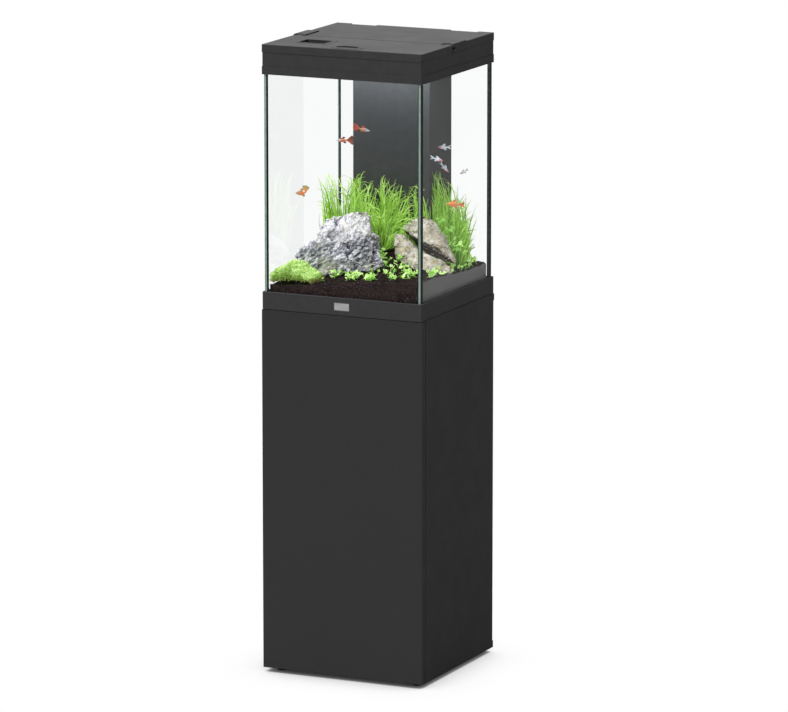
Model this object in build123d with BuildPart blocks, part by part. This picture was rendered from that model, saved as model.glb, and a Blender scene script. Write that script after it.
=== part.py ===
from math import cos, radians, sin
from build123d import *
import os

# Aquarium on a cabinet stand: a tall square cabinet with one door, a glass tank in a plastic rim,
# and a lift-off hood with a hinged front flap, a feeding hatch and an LED bar.
# Millimetres, +Z up, +X right, -Y front. The origin is on the floor under the middle of the cabinet.

# ---------------------------------------------------------------- driving dimensions
width = 400.0              # cabinet, across the front
depth = 396.0              # door face to the rear edge of the cabinet's boards
board = 16.0               # melamine board thickness
foot_height = 10.0
cabinet_top = 846.0
rim_top = 886.0            # top edge of the plastic rim round the foot of the tank
glass_top = 1396.0
hood_bottom = 1382.0
hood_top = 1450.0

door_gap = 2.0             # between the door and the cabinet's front edges
pane = 6.0                 # thickness of the four upright panes
pane_outer = 194.0         # outer faces of the panes, from the middle of the tank
bottom_pane = 8.0
silicone = 1.0             # glue joint between two panes
bead = 5.0                 # leg of the silicone fillet round the bottom pane
corner_bead = 1.5          # leg of the small fillet up each upright glass corner

hood_half = 198.0          # lower trim and top cover
hood_waist_half = 197.0    # the set-in band between them
hood_skin = 3.0            # thickness of the hood's top cover
hood_skirt = 2.5           # thickness of the cover's skirts
trim_top = 1400.0
waist_top = 1431.5
skirt_bottom = 1432.0

# ---------------------------------------------------------------- derived dimensions
half_width = width / 2
front = -depth / 2
rear = depth / 2
bottom_board_top = foot_height + board
top_board_bottom = cabinet_top - board
panel_front = front + board + door_gap
panel_rear = rear - 4.0
panel_inner = half_width - board
door_back = front + board
pane_inner = pane_outer - pane
pane_end = pane_inner - silicone
tank_floor = cabinet_top + 8.0
bottom_pane_top = tank_floor + bottom_pane
cover_bottom = hood_top - hood_skin

ALONG = {"X": (0, 90, 0), "Y": (-90, 0, 0), "Z": (0, 0, 0)}
SIDES = (-1, 1)

os.makedirs("parts", exist_ok=True)


def block(low, high, mode=Mode.ADD):
    """Add a box to the part being built, from its lowest corner to its highest corner."""
    size = [b - a for a, b in zip(low, high)]
    with Locations(low):
        Box(*size, align=(Align.MIN, Align.MIN, Align.MIN), mode=mode)


def square_block(half_x, half_y, bottom, top, mode=Mode.ADD):
    """Add a box centred on the Z axis."""
    block((-half_x, -half_y, bottom), (half_x, half_y, top), mode=mode)


def rod(start, length, radius, axis="Z", mode=Mode.ADD):
    """Add a round rod that runs from start along +X, +Y or +Z."""
    with Locations(Location(start, ALONG[axis])):
        Cylinder(radius, length, align=(Align.CENTER, Align.CENTER, Align.MIN), mode=mode)


def write(piece, label):
    """Label a finished piece and write it to a STEP file of the same name."""
    piece.part.label = label
    export_step(piece.part, f"parts/{label}.step")


# ---------------------------------------------------------------- cabinet joinery positions
joint_x = 191.0                         # bolts and dowels, near the middle of the side boards
cam_rows = (-120.0, 130.0)
dowel_rows = (-150.0, 160.0)
cam_radius = 7.5
cam_depth = 12.5
cam_offset = 24.0                       # cam centre from the end of the side board
bolt_radius = 3.0
dowel_radius = 4.0
bite = 10.0                             # how far bolts and dowels enter the flat boards
dowel_length = 30.0
cam_points = [(side, y) for side in SIDES for y in cam_rows]
dowel_points = [(side, y) for side in SIDES for y in dowel_rows]
foot_points = [(x, y) for x in (-170.0, 170.0) for y in (-160.0, 165.0)]
foot_radius = 13.0
foot_stem_radius = 3.0

shelf_bottom = 400.0
shelf_pin_radius = 2.5
shelf_pin_rows = (-120.0, 150.0)
shelf_pin_reach = 8.0                   # into the side board, and out of it
shelf_hole_pitch = 32.0
shelf_hole_heights = [shelf_bottom - shelf_pin_radius + step * shelf_hole_pitch for step in range(-2, 3)]

# ---------------------------------------------------------------- door hinge and latch positions
hinge_heights = (120.0, 736.0)
hinge_axis_x = -half_width + 6.0        # the door's pivot line, close to its edge and front face
hinge_axis_y = front + 5.0
hinge_pin_radius = 1.2
hinge_eye_radius = 2.6
running_clearance = 0.05
cup_x = -half_width + 21.5
cup_radius = 17.5
cup_depth = 13.0
ear_half_height = 9.0
arm_half_height = 4.0
arm_slot_half = 4.5
plate_face = -panel_inner + 2.5         # face of the mounting plate inside the left side board

latch_x = 173.0
latch_z = 788.0
latch_bore = 4.3
plunger_radius = 4.0
strike_thickness = 0.8


# ================================================================ cabinet
with BuildPart() as bottom_board:
    block((-half_width, panel_front, foot_height), (half_width, rear, bottom_board_top))
    for side, y in cam_points:
        rod((side * joint_x, y, bottom_board_top - bite), bite, bolt_radius, mode=Mode.SUBTRACT)
    for side, y in dowel_points:
        rod((side * joint_x, y, bottom_board_top - bite), bite, dowel_radius, mode=Mode.SUBTRACT)
    for x, y in foot_points:
        rod((x, y, foot_height), bite, foot_stem_radius, mode=Mode.SUBTRACT)
write(bottom_board, "bottom_board")

with BuildPart() as top_board:
    block((-half_width, panel_front, top_board_bottom), (half_width, rear, cabinet_top))
    for side, y in cam_points:
        rod((side * joint_x, y, top_board_bottom), bite, bolt_radius, mode=Mode.SUBTRACT)
    for side, y in dowel_points:
        rod((side * joint_x, y, top_board_bottom), bite, dowel_radius, mode=Mode.SUBTRACT)
write(top_board, "top_board")

# The side boards stand between the two flat boards and carry the cams, dowels and shelf pins.
for side, label in ((-1, "side_panel_left"), (1, "side_panel_right")):
    inner = side * panel_inner
    outer = side * half_width
    cam_start = min(inner, inner + side * cam_depth)
    pin_start = min(inner, inner + side * shelf_pin_reach)
    with BuildPart() as side_panel:
        block((min(inner, outer), panel_front, bottom_board_top),
              (max(inner, outer), panel_rear, top_board_bottom))
        for y in cam_rows:
            for end, inward in ((bottom_board_top, 1), (top_board_bottom, -1)):
                cam_z = end + inward * cam_offset
                rod((cam_start, y, cam_z), cam_depth, cam_radius, "X", mode=Mode.SUBTRACT)
                rod((side * joint_x, y, min(end, cam_z)), cam_offset, bolt_radius, mode=Mode.SUBTRACT)
        for y in dowel_rows:
            rod((side * joint_x, y, bottom_board_top), dowel_length - bite, dowel_radius, mode=Mode.SUBTRACT)
            rod((side * joint_x, y, top_board_bottom - dowel_length + bite), dowel_length - bite,
                dowel_radius, mode=Mode.SUBTRACT)
        for y in shelf_pin_rows:
            for z in shelf_hole_heights:
                rod((pin_start, y, z), shelf_pin_reach, shelf_pin_radius, "X", mode=Mode.SUBTRACT)
    write(side_panel, label)

cable_hole_z = 700.0
cable_hole_radius = 30.0
back_thickness = 3.0
with BuildPart() as back_panel:
    block((-half_width + 2, panel_rear, bottom_board_top + 0.5),
          (half_width - 2, panel_rear + back_thickness, top_board_bottom - 0.5))
    rod((0, panel_rear, cable_hole_z), back_thickness, cable_hole_radius, "Y", mode=Mode.SUBTRACT)
write(back_panel, "back_panel")

with BuildPart() as shelf:
    block((-panel_inner + 0.8, -160, shelf_bottom), (panel_inner - 0.8, 190, shelf_bottom + board))
    chamfer(shelf.edges().filter_by(Axis.X), 0.6)
write(shelf, "shelf")

with BuildPart() as shelf_pins:
    for side in SIDES:
        for y in shelf_pin_rows:
            rod((side * panel_inner - shelf_pin_reach, y, shelf_bottom - shelf_pin_radius),
                2 * shelf_pin_reach, shelf_pin_radius, "X")
write(shelf_pins, "shelf_pins")

# Each cam fitting is a round cam in the side board and the bolt that it pulls on.
with BuildPart() as cam_fittings:
    for side, y in cam_points:
        cam_start = min(side * panel_inner, side * (panel_inner + cam_depth))
        for end, inward in ((bottom_board_top, 1), (top_board_bottom, -1)):
            cam_z = end + inward * cam_offset
            rod((cam_start, y, cam_z), cam_depth, cam_radius, "X")
            bolt_low = min(end - inward * bite, cam_z - inward * cam_radius)
            rod((side * joint_x, y, bolt_low), bite + cam_offset - cam_radius, bolt_radius)
write(cam_fittings, "cam_fittings")

with BuildPart() as dowels:
    for side, y in dowel_points:
        rod((side * joint_x, y, bottom_board_top - bite), dowel_length, dowel_radius)
        rod((side * joint_x, y, top_board_bottom + bite - dowel_length), dowel_length, dowel_radius)
write(dowels, "dowels")

with BuildPart() as feet:
    for x, y in foot_points:
        rod((x, y, 0), foot_height, foot_radius)
        rod((x, y, foot_height), bite, foot_stem_radius)
    chamfer(feet.faces().sort_by(Axis.Z)[:4].edges(), 1.2)
write(feet, "feet")

# ================================================================ door on two concealed hinges
ear_low_x = -half_width + 0.5
ear_high_x = -half_width + 15.0
ear_front = front + 2.0
door_bottom = foot_height + 0.5
door_top = cabinet_top - 1.5

with BuildPart() as door:
    block((-half_width, front, door_bottom), (half_width, door_back, door_top))
    chamfer(door.faces().sort_by(Axis.Y)[0].edges(), 0.5)
    for z in hinge_heights:
        rod((cup_x, door_back - cup_depth, z), cup_depth, cup_radius, "Y", mode=Mode.SUBTRACT)
        block((-half_width, ear_front, z - ear_half_height),
              (ear_high_x, door_back, z + ear_half_height), mode=Mode.SUBTRACT)
write(door, "door")

flange_half_height = 28.0
flange_thickness = 1.2
slot_knee_x = -188.0
with BuildPart() as hinge_cups:
    for z in hinge_heights:
        rod((cup_x, door_back - cup_depth, z), cup_depth, cup_radius, "Y")
        block((ear_low_x, ear_front, z - ear_half_height), (ear_high_x, door_back, z + ear_half_height))
        block((-186, door_back, z - flange_half_height),
              (-171, door_back + flange_thickness, z + flange_half_height))
        block((-half_width, ear_front, z - arm_slot_half), (slot_knee_x, panel_front, z + arm_slot_half),
              mode=Mode.SUBTRACT)
        block((slot_knee_x, ear_front + 2.7, z - arm_slot_half), (-165, panel_front, z + arm_slot_half),
              mode=Mode.SUBTRACT)
        rod((hinge_axis_x, hinge_axis_y, z - ear_half_height), 2 * ear_half_height, hinge_pin_radius,
            mode=Mode.SUBTRACT)
write(hinge_cups, "hinge_cups")

with BuildPart() as hinge_pins:
    for z in hinge_heights:
        rod((hinge_axis_x, hinge_axis_y, z - ear_half_height), 2 * ear_half_height, hinge_pin_radius)
write(hinge_pins, "hinge_pins")

# The arm leaves the pin through the cup's slot, clears the side board's edge and joins the plate.
arm_link = 2.6
with BuildPart() as hinge_arms:
    for z in hinge_heights:
        with BuildSketch(Plane.XY.offset(z - arm_half_height)):
            with BuildLine() as link:
                Polyline((hinge_axis_x, hinge_axis_y), (-180.2, -180.5), (-178, -168))
            trace(link.line, line_width=arm_link)
            with Locations((hinge_axis_x, hinge_axis_y)):
                Circle(hinge_eye_radius)
            with Locations((plate_face, -170)):
                Rectangle(7.5, 42, align=(Align.MIN, Align.MIN))
        extrude(amount=2 * arm_half_height)
        rod((hinge_axis_x, hinge_axis_y, z - arm_half_height), 2 * arm_half_height,
            hinge_pin_radius + running_clearance, mode=Mode.SUBTRACT)
write(hinge_arms, "hinge_arms")

plate_screw_y = -147.0
plate_screw_offset = 11.0
screw_radius = 1.7
screw_head_radius = 3.3
with BuildPart() as hinge_plates:
    for z in hinge_heights:
        block((-panel_inner, -170, z - 16), (plate_face, -125, z + 16))
        for offset in (-plate_screw_offset, plate_screw_offset):
            rod((-panel_inner, plate_screw_y, z + offset), plate_face + panel_inner, screw_radius, "X",
                mode=Mode.SUBTRACT)
write(hinge_plates, "hinge_plates")

with BuildPart() as hinge_plate_screws:
    for z in hinge_heights:
        for offset in (-plate_screw_offset, plate_screw_offset):
            rod((-panel_inner, plate_screw_y, z + offset), plate_face + panel_inner, screw_radius, "X")
            rod((plate_face, plate_screw_y, z + offset), 1.8, screw_head_radius, "X")
write(hinge_plate_screws, "hinge_plate_screws")

with BuildPart() as hinge_cup_screws:
    for z in hinge_heights:
        for offset in (-22.0, 22.0):
            rod((cup_x, door_back + flange_thickness, z + offset), 1.2, screw_head_radius, "Y")
write(hinge_cup_screws, "hinge_cup_screws")

with BuildPart() as strike_plate:
    block((latch_x - 9, door_back, latch_z - 10), (latch_x + 9, door_back + strike_thickness, latch_z + 10))
    fillet(strike_plate.edges().filter_by(Axis.Y), 3)
write(strike_plate, "strike_plate")

with BuildPart() as latch_body:
    block((latch_x - 9, -176, latch_z - 8), (panel_inner, -118, latch_z + 8))
    fillet(latch_body.edges().filter_by(Axis.Y).group_by(Axis.X)[0], 3)
    rod((latch_x, -176, latch_z), 50, latch_bore, "Y", mode=Mode.SUBTRACT)
write(latch_body, "latch_body")

plunger_tip = door_back + strike_thickness + 0.3
with BuildPart() as latch_plunger:
    rod((latch_x, plunger_tip, latch_z), 44, plunger_radius, "Y")
    fillet(latch_plunger.edges().sort_by(Axis.Y)[0], 1.5)
write(latch_plunger, "latch_plunger")

# ================================================================ tank
rim_half_x = 198.5
rim_half_y = 198.0
pocket_half = pane_outer + 0.2
ledge_half = 180.0
badge_half_width = 19.0
badge_low = 856.5
badge_high = 874.5
badge_thickness = 0.8

with BuildPart() as base_frame:
    square_block(rim_half_x, rim_half_y, cabinet_top, rim_top)
    fillet(base_frame.edges().filter_by(Axis.Z), 2.0)
    fillet(base_frame.faces().sort_by(Axis.Z)[-1].edges(), 1.2)
    square_block(pocket_half, pocket_half, tank_floor, rim_top, mode=Mode.SUBTRACT)
    square_block(ledge_half, ledge_half, cabinet_top, tank_floor, mode=Mode.SUBTRACT)
    block((-badge_half_width, front, badge_low), (badge_half_width, front + badge_thickness, badge_high),
          mode=Mode.SUBTRACT)
write(base_frame, "base_frame")

with BuildPart() as badge:
    block((-badge_half_width, front, badge_low), (badge_half_width, front + badge_thickness, badge_high))
write(badge, "badge")

with BuildPart() as foam_mat:
    square_block(ledge_half - 0.5, ledge_half - 0.5, cabinet_top, tank_floor)
write(foam_mat, "foam_mat")

with BuildPart() as bottom_glass:
    square_block(pane_end, pane_end, tank_floor, bottom_pane_top)
write(bottom_glass, "bottom_glass")

# The side panes run the full depth and cover the ends of the front and back panes.
for side, label in ((-1, "front_glass"), (1, "back_glass")):
    near, far = sorted((side * pane_inner, side * pane_outer))
    with BuildPart() as cross_pane:
        block((-pane_end, near, tank_floor), (pane_end, far, glass_top))
        chamfer(cross_pane.edges().filter_by(Axis.X).group_by(Axis.Z)[-1], 0.6)
    write(cross_pane, label)

for side, label in ((-1, "left_glass"), (1, "right_glass")):
    near, far = sorted((side * pane_inner, side * pane_outer))
    with BuildPart() as side_pane:
        block((near, -pane_outer, tank_floor), (far, pane_outer, glass_top))
        chamfer(side_pane.edges().filter_by(Axis.Z), 0.6)
    write(side_pane, label)

# Silicone: a joint and an inner fillet up each corner, and a fillet round the bottom pane.
with BuildPart() as corner_seals:
    with BuildSketch(Plane.XY.offset(bottom_pane_top + bead)):
        with BuildLine():
            Polyline((pane_end, -pane_outer), (pane_inner, -pane_outer),
                     (pane_inner, -pane_inner + corner_bead), (pane_inner - corner_bead, -pane_inner),
                     (pane_end, -pane_inner), close=True)
        make_face()
        mirror(about=Plane.YZ)
        mirror(about=Plane.XZ)
    extrude(amount=glass_top - bottom_pane_top - bead - 0.5)
write(corner_seals, "corner_seals")

with BuildPart() as bottom_seal:
    square_block(pane_inner, pane_inner, bottom_pane_top, bottom_pane_top + bead)
    square_block(pane_inner - bead, pane_inner - bead, bottom_pane_top, bottom_pane_top + bead,
                 mode=Mode.SUBTRACT)
write(bottom_seal, "bottom_seal")

# ================================================================ hood
frame_half = 194.5             # outer face of the upstand that the cover sits on
frame_inner = 192.0
ledge_thickness = trim_top - glass_top
flap_axis_y = -26.0
flap_axis_z = hood_top - 1.5
flap_rear = -29.5
cover_front = -27.0
seam_bevel = 1.4               # bevel on both edges of the seam between the flap and the rear panel
cheek_nose = 6.6               # radius of the hinge covers' front, about the flap's axis
corner_step = 1440.0           # bottom of the corner cuts that the hinge covers fill
corner_cut_y = flap_axis_y - cheek_nose - 0.4
hinge_low_x = 170.0
tongue = (176.0, 192.0)        # the flap's hinge tongue, from the middle of the hood
cheek_gap = 0.5
notch_depth = 12.0
notches = ((-160.0, -94.0), (90.0, 160.0))   # cable and hose notches in the rear edge

with BuildPart() as hood_frame:
    square_block(hood_half, hood_half, hood_bottom, trim_top)
    square_block(hood_waist_half, hood_waist_half, trim_top, waist_top)
    fillet(hood_frame.edges().filter_by(Axis.Z), 2.0)
    square_block(frame_half, frame_half, waist_top, cover_bottom)
    square_block(pane_outer + 1, pane_outer + 1, hood_bottom, glass_top, mode=Mode.SUBTRACT)
    square_block(ledge_half, ledge_half, glass_top, trim_top, mode=Mode.SUBTRACT)
    square_block(frame_inner, frame_inner, trim_top, cover_bottom, mode=Mode.SUBTRACT)
    block((-frame_half, -frame_half, cover_bottom - 0.5), (frame_half, cover_front, cover_bottom),
          mode=Mode.SUBTRACT)
    for low_x, high_x in notches:
        block((low_x, rear - notch_depth, waist_top), (high_x, rear, cover_bottom), mode=Mode.SUBTRACT)
    for side in SIDES:
        low_x, high_x = sorted((side * frame_inner, side * frame_half))
        block((low_x, corner_cut_y - 1, corner_step), (high_x, -18, cover_bottom), mode=Mode.SUBTRACT)
    block((-45, -frame_half, cover_bottom - 13), (45, -frame_inner, cover_bottom), mode=Mode.SUBTRACT)
write(hood_frame, "hood_frame")

with BuildPart() as hood_rear_panel:
    block((-hood_half, cover_front, skirt_bottom), (hood_half, rear, hood_top))
    chamfer(hood_rear_panel.faces().sort_by(Axis.Z)[-1].edges().sort_by(Axis.Y)[0], seam_bevel)
    fillet(hood_rear_panel.edges().filter_by(Axis.Z).group_by(Axis.Y)[-1], 2.0)
    fillet(hood_rear_panel.faces().sort_by(Axis.Z)[-1].edges().sort_by(Axis.Y)[1:], 1.2)
    block((-hood_half + hood_skirt, cover_front, skirt_bottom), (hood_half - hood_skirt, rear - hood_skirt,
          cover_bottom), mode=Mode.SUBTRACT)
    for low_x, high_x in notches:
        block((low_x, rear - notch_depth, skirt_bottom), (high_x, rear, hood_top), mode=Mode.SUBTRACT)
    for side in SIDES:
        low_x, high_x = sorted((side * (hinge_low_x - 0.5), side * hood_half))
        block((low_x, cover_front, corner_step), (high_x, -18, hood_top), mode=Mode.SUBTRACT)
write(hood_rear_panel, "hood_rear_panel")

cover_top = hood_top + 2.4
cover_rear = 43.0
cheek_bottom = flap_axis_z - 4.0
flap_pin_radius = 1.2
with BuildPart() as hinge_covers:
    for side in SIDES:
        inner_cheek = (hinge_low_x, tongue[0] - cheek_gap)
        outer_cheek = (tongue[1] + cheek_gap, hood_half)
        for cheek in (inner_cheek, outer_cheek):
            low_x, high_x = sorted(side * x for x in cheek)
            rod((low_x, flap_axis_y, flap_axis_z), high_x - low_x, cheek_nose, "X")
            block((low_x, flap_axis_y, hood_top), (high_x, cover_rear, cover_top))
        low_x, high_x = sorted((side * hinge_low_x, side * hood_half))
        block((low_x, flap_axis_y + 3.5, hood_top + 0.8), (high_x, cover_rear, cover_top))
        block((low_x, -17.5, hood_top), (high_x, cover_rear, cover_top))
        block((low_x, flap_axis_y - 10, flap_axis_z - 10), (high_x, 0, cheek_bottom), mode=Mode.SUBTRACT)
        block((low_x, flap_axis_y - 10, cover_top), (high_x, 0, cover_top + 10), mode=Mode.SUBTRACT)
        rod((low_x + 1, flap_axis_y, flap_axis_z), high_x - low_x - 2, flap_pin_radius, "X",
            mode=Mode.SUBTRACT)
    chamfer(hinge_covers.edges().filter_by(Axis.X).group_by(Axis.Y)[-1].sort_by(Axis.Z)[-2:], 1.0)
write(hinge_covers, "hinge_covers")

with BuildPart() as flap_pins:
    for side in SIDES:
        low_x = min(side * (hinge_low_x + 1), side * (hood_half - 1))
        rod((low_x, flap_axis_y, flap_axis_z), hood_half - hinge_low_x - 2, flap_pin_radius, "X")
write(flap_pins, "flap_pins")

# ---------------------------------------------------------------- front flap
grip_centre = (0.5, -168.0)
grip_radii = (38.5, 25.0)
grip_opening = (27.0, 16.0)
grip_opening_centre = (0.5, -166.0)
grip_wall = 1.5
grip_top = hood_top + 0.8      # the grip's rim stands a little above the flap
grip_floor = hood_top - 1.2
grip_step_y = -158.0           # behind this line the floor drops into the finger pocket
grip_bottom = 1436.0
funnel_rim_low = (-141.0, -140.0)
funnel_rim_high = (-63.0, -80.0)
funnel_low = (-137.0, -134.0)
funnel_high = (-73.0, -86.0)
funnel_wall = 1.5
funnel_bottom = 1434.0
rim_thickness = 1.2            # how far the funnel's rim is let into the flap
rim_proud = 0.5

with BuildPart() as front_flap:
    block((-hood_half, front, skirt_bottom), (hood_half, flap_rear, hood_top))
    chamfer(front_flap.faces().sort_by(Axis.Z)[-1].edges().sort_by(Axis.Y)[-1], seam_bevel)
    fillet(front_flap.edges().filter_by(Axis.Z).group_by(Axis.Y)[0], 2.0)
    fillet(front_flap.faces().sort_by(Axis.Z)[-1].edges().sort_by(Axis.Y)[:-1], 1.2)
    block((-hood_half + hood_skirt, front + hood_skirt, skirt_bottom),
          (hood_half - hood_skirt, flap_rear, cover_bottom), mode=Mode.SUBTRACT)
    for side in SIDES:
        low_x, high_x = sorted((side * (hinge_low_x - 0.5), side * hood_half))
        block((low_x, corner_cut_y, skirt_bottom), (high_x, flap_rear, hood_top), mode=Mode.SUBTRACT)
        low_x, high_x = sorted((side * tongue[0], side * tongue[1]))
        block((low_x, corner_cut_y, cover_bottom), (high_x, flap_axis_y, hood_top))
        rod((low_x, flap_axis_y, flap_axis_z), high_x - low_x, 3.0, "X")
        rod((low_x, flap_axis_y, flap_axis_z), high_x - low_x, flap_pin_radius + running_clearance, "X",
            mode=Mode.SUBTRACT)
    with BuildSketch(Plane.XY.offset(hood_top)):
        with Locations(grip_centre):
            Ellipse(*grip_radii)
    extrude(amount=-hood_skin, mode=Mode.SUBTRACT)
    block((*funnel_rim_low, hood_top - rim_thickness), (*funnel_rim_high, hood_top), mode=Mode.SUBTRACT)
    block((funnel_low[0] - funnel_wall, funnel_low[1] - funnel_wall, cover_bottom),
          (funnel_high[0] + funnel_wall, funnel_high[1] + funnel_wall, hood_top), mode=Mode.SUBTRACT)
write(front_flap, "front_flap")

# The finger grip is an oval insert: a raised rim, a shallow floor, and a pocket under its rear lip.
with BuildPart() as finger_pocket:
    with BuildSketch(Plane.XY.offset(grip_bottom + grip_wall)):
        with Locations(grip_centre):
            Ellipse(grip_radii[0] - grip_wall, grip_radii[1] - grip_wall)
    extrude(amount=cover_bottom - grip_bottom - grip_wall)
    with BuildSketch(Plane.XY.offset(cover_bottom)):
        with Locations(grip_opening_centre):
            Ellipse(*grip_opening)
    extrude(amount=grip_floor - cover_bottom)
    block((-half_width, grip_step_y, grip_bottom), (half_width, 0, grip_floor), mode=Mode.INTERSECT)

with BuildPart() as grip_cup:
    with BuildSketch(Plane.XY.offset(grip_bottom)):
        with Locations(grip_centre):
            Ellipse(grip_radii[0] + grip_wall, grip_radii[1] + grip_wall)
    extrude(amount=cover_bottom - grip_bottom)
    with BuildSketch(Plane.XY.offset(cover_bottom)):
        with Locations(grip_centre):
            Ellipse(*grip_radii)
    extrude(amount=grip_top - cover_bottom)
    fillet(grip_cup.edges().group_by(Axis.Z)[-1], 0.5)
    with BuildSketch(Plane.XY.offset(grip_floor)):
        with Locations(grip_opening_centre):
            Ellipse(*grip_opening)
    extrude(amount=grip_top - grip_floor, mode=Mode.SUBTRACT)
    add(finger_pocket.part, mode=Mode.SUBTRACT)
write(grip_cup, "grip_cup")

# The feeding opening is a straight-sided insert with a thin rim and a lid low inside it.
hatch_axis_y = funnel_high[1] - 2.7
hatch_axis_z = 1438.0
hatch_pin_radius = 1.0
with BuildPart() as feed_funnel:
    block((funnel_low[0] - funnel_wall, funnel_low[1] - funnel_wall, funnel_bottom),
          (funnel_high[0] + funnel_wall, funnel_high[1] + funnel_wall, hood_top))
    block((*funnel_rim_low, hood_top - rim_thickness), (*funnel_rim_high, hood_top + rim_proud))
    block((*funnel_low, funnel_bottom), (*funnel_high, hood_top + rim_proud), mode=Mode.SUBTRACT)
    block((funnel_low[0], funnel_low[1], funnel_bottom), (funnel_high[0], funnel_low[1] + 3, funnel_bottom + 2))
    rod((funnel_low[0] - 1, hatch_axis_y, hatch_axis_z), funnel_high[0] - funnel_low[0] + 2,
        hatch_pin_radius + running_clearance, "X", mode=Mode.SUBTRACT)
write(feed_funnel, "feed_funnel")

with BuildPart() as feed_hatch:
    block((funnel_low[0] + 0.5, funnel_low[1] + 0.6, hatch_axis_z - 1),
          (funnel_high[0] - 0.5, hatch_axis_y, hatch_axis_z + 1))
    rod((funnel_low[0] + 0.5, hatch_axis_y, hatch_axis_z), funnel_high[0] - funnel_low[0] - 1, 1.8, "X")
    block((-124, funnel_low[1] + 0.6, hatch_axis_z), (-114, funnel_low[1] + 2.8, hood_top))
    fillet(feed_hatch.edges().filter_by(Axis.Y).group_by(Axis.Z)[-1], 2.0)
    rod((funnel_low[0], hatch_axis_y, hatch_axis_z), funnel_high[0] - funnel_low[0], hatch_pin_radius, "X",
        mode=Mode.SUBTRACT)
write(feed_hatch, "feed_hatch")

with BuildPart() as hatch_pin:
    rod((funnel_low[0] - 0.8, hatch_axis_y, hatch_axis_z), funnel_high[0] - funnel_low[0] + 1.6,
        hatch_pin_radius, "X")
write(hatch_pin, "hatch_pin")

# ================================================================ LED bar across the hood
led_half = 176.0
led_front = -14.0
led_rear = 22.0
led_bottom = 1410.0
led_top = 1424.0
led_wall = 2.0
led_middle = (led_front + led_rear) / 2
led_pitch = 14.0
led_count = 24

with BuildPart() as led_housing:
    block((-led_half, led_front, led_bottom), (led_half, led_rear, led_top))
    fillet(led_housing.edges().filter_by(Axis.X).group_by(Axis.Z)[-1], 3.0)
    block((-led_half, led_front + led_wall, led_bottom), (led_half, led_rear - led_wall, led_top - led_wall),
          mode=Mode.SUBTRACT)
    for fin in range(5):
        fin_y = led_front + 6 + 6 * fin
        block((-led_half, fin_y - 0.6, led_top - 0.8), (led_half, fin_y + 0.6, led_top), mode=Mode.SUBTRACT)
write(led_housing, "led_housing")

board_bottom = led_top - led_wall - 1.6
with BuildPart() as led_board:
    block((-led_half + 2, led_middle - 12, board_bottom), (led_half - 2, led_middle + 12, led_top - led_wall))
write(led_board, "led_board")

with BuildPart() as led_emitters:
    with Locations((0, led_middle, board_bottom - 0.8)):
        with GridLocations(led_pitch, 12, led_count, 2):
            Box(3.5, 2.8, 0.8, align=(Align.CENTER, Align.CENTER, Align.MIN))
write(led_emitters, "led_emitters")

with BuildPart() as led_diffuser:
    block((-led_half, led_front, led_bottom - 2), (led_half, led_rear, led_bottom))
    fillet(led_diffuser.edges().filter_by(Axis.X).group_by(Axis.Z)[0], 1.5)
write(led_diffuser, "led_diffuser")

end_cap = 3.0
with BuildPart() as led_end_caps:
    for side in SIDES:
        low_x, high_x = sorted((side * led_half, side * (led_half + end_cap)))
        block((low_x, led_front - 0.8, led_bottom - 2.8), (high_x, led_rear + 0.8, led_top + 0.8))
    fillet(led_end_caps.edges().filter_by(Axis.X), 2.0)
write(led_end_caps, "led_end_caps")

with BuildPart() as led_brackets:
    for side in SIDES:
        upright = sorted((side * (led_half + end_cap), side * (led_half + end_cap + 2)))
        foot = sorted((side * (led_half + end_cap), side * frame_inner))
        block((upright[0], led_middle - 9, trim_top), (upright[1], led_middle + 9, led_top))
        block((foot[0], led_middle - 9, trim_top), (foot[1], led_middle + 9, trim_top + 2))
write(led_brackets, "led_brackets")

# ================================================================ filter box against the back pane
filter_half = 96.5
filter_front = 67.0
filter_rear = 186.5
filter_bottom = bottom_pane_top + bead + 1.0
filter_top = 1384.0
filter_wall = 3.0
divider_left = -31.0
divider_right = 35.0
divider_thickness = 2.0
filter_middle_y = (filter_front + filter_rear) / 2
intake_heights = [1000.0 + 9.0 * row for row in range(9)]
outlet_z = 1352.0
outlet_radius = 8.0

with BuildPart() as filter_box:
    block((-filter_half, filter_front, filter_bottom), (filter_half, filter_rear, filter_top))
    fillet(filter_box.edges().filter_by(Axis.Z).group_by(Axis.Y)[0], 2.0)
    chambers = ((-filter_half + filter_wall, divider_left), (divider_left + divider_thickness, divider_right),
                (divider_right + divider_thickness, filter_half - filter_wall))
    for low_x, high_x in chambers:
        block((low_x, filter_front + filter_wall, filter_bottom + filter_wall),
              (high_x, filter_rear - filter_wall, filter_top), mode=Mode.SUBTRACT)
    for z in intake_heights:
        block((-60, filter_front, z), (20, filter_front + filter_wall, z + 3), mode=Mode.SUBTRACT)
    rod((-filter_half, filter_middle_y, outlet_z), filter_wall, outlet_radius, "X", mode=Mode.SUBTRACT)
write(filter_box, "filter_box")

with BuildPart() as filter_lid:
    block((-filter_half + 1, filter_front + 2, filter_top), (filter_half - 1, 178, filter_top + 3))
    fillet(filter_lid.edges().filter_by(Axis.Z), 4.0)
    block((-25, 118, filter_top + 3), (25, 122, filter_top + 9))
write(filter_lid, "filter_lid")

with BuildPart() as filter_sponge:
    for low_z, high_z in ((872, 1000), (1003, 1140), (1143, 1280)):
        block((divider_left + divider_thickness + 0.5, filter_front + filter_wall + 0.5, low_z),
              (divider_right - 0.5, filter_rear - filter_wall - 0.5, high_z))
write(filter_sponge, "filter_sponge")

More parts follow.
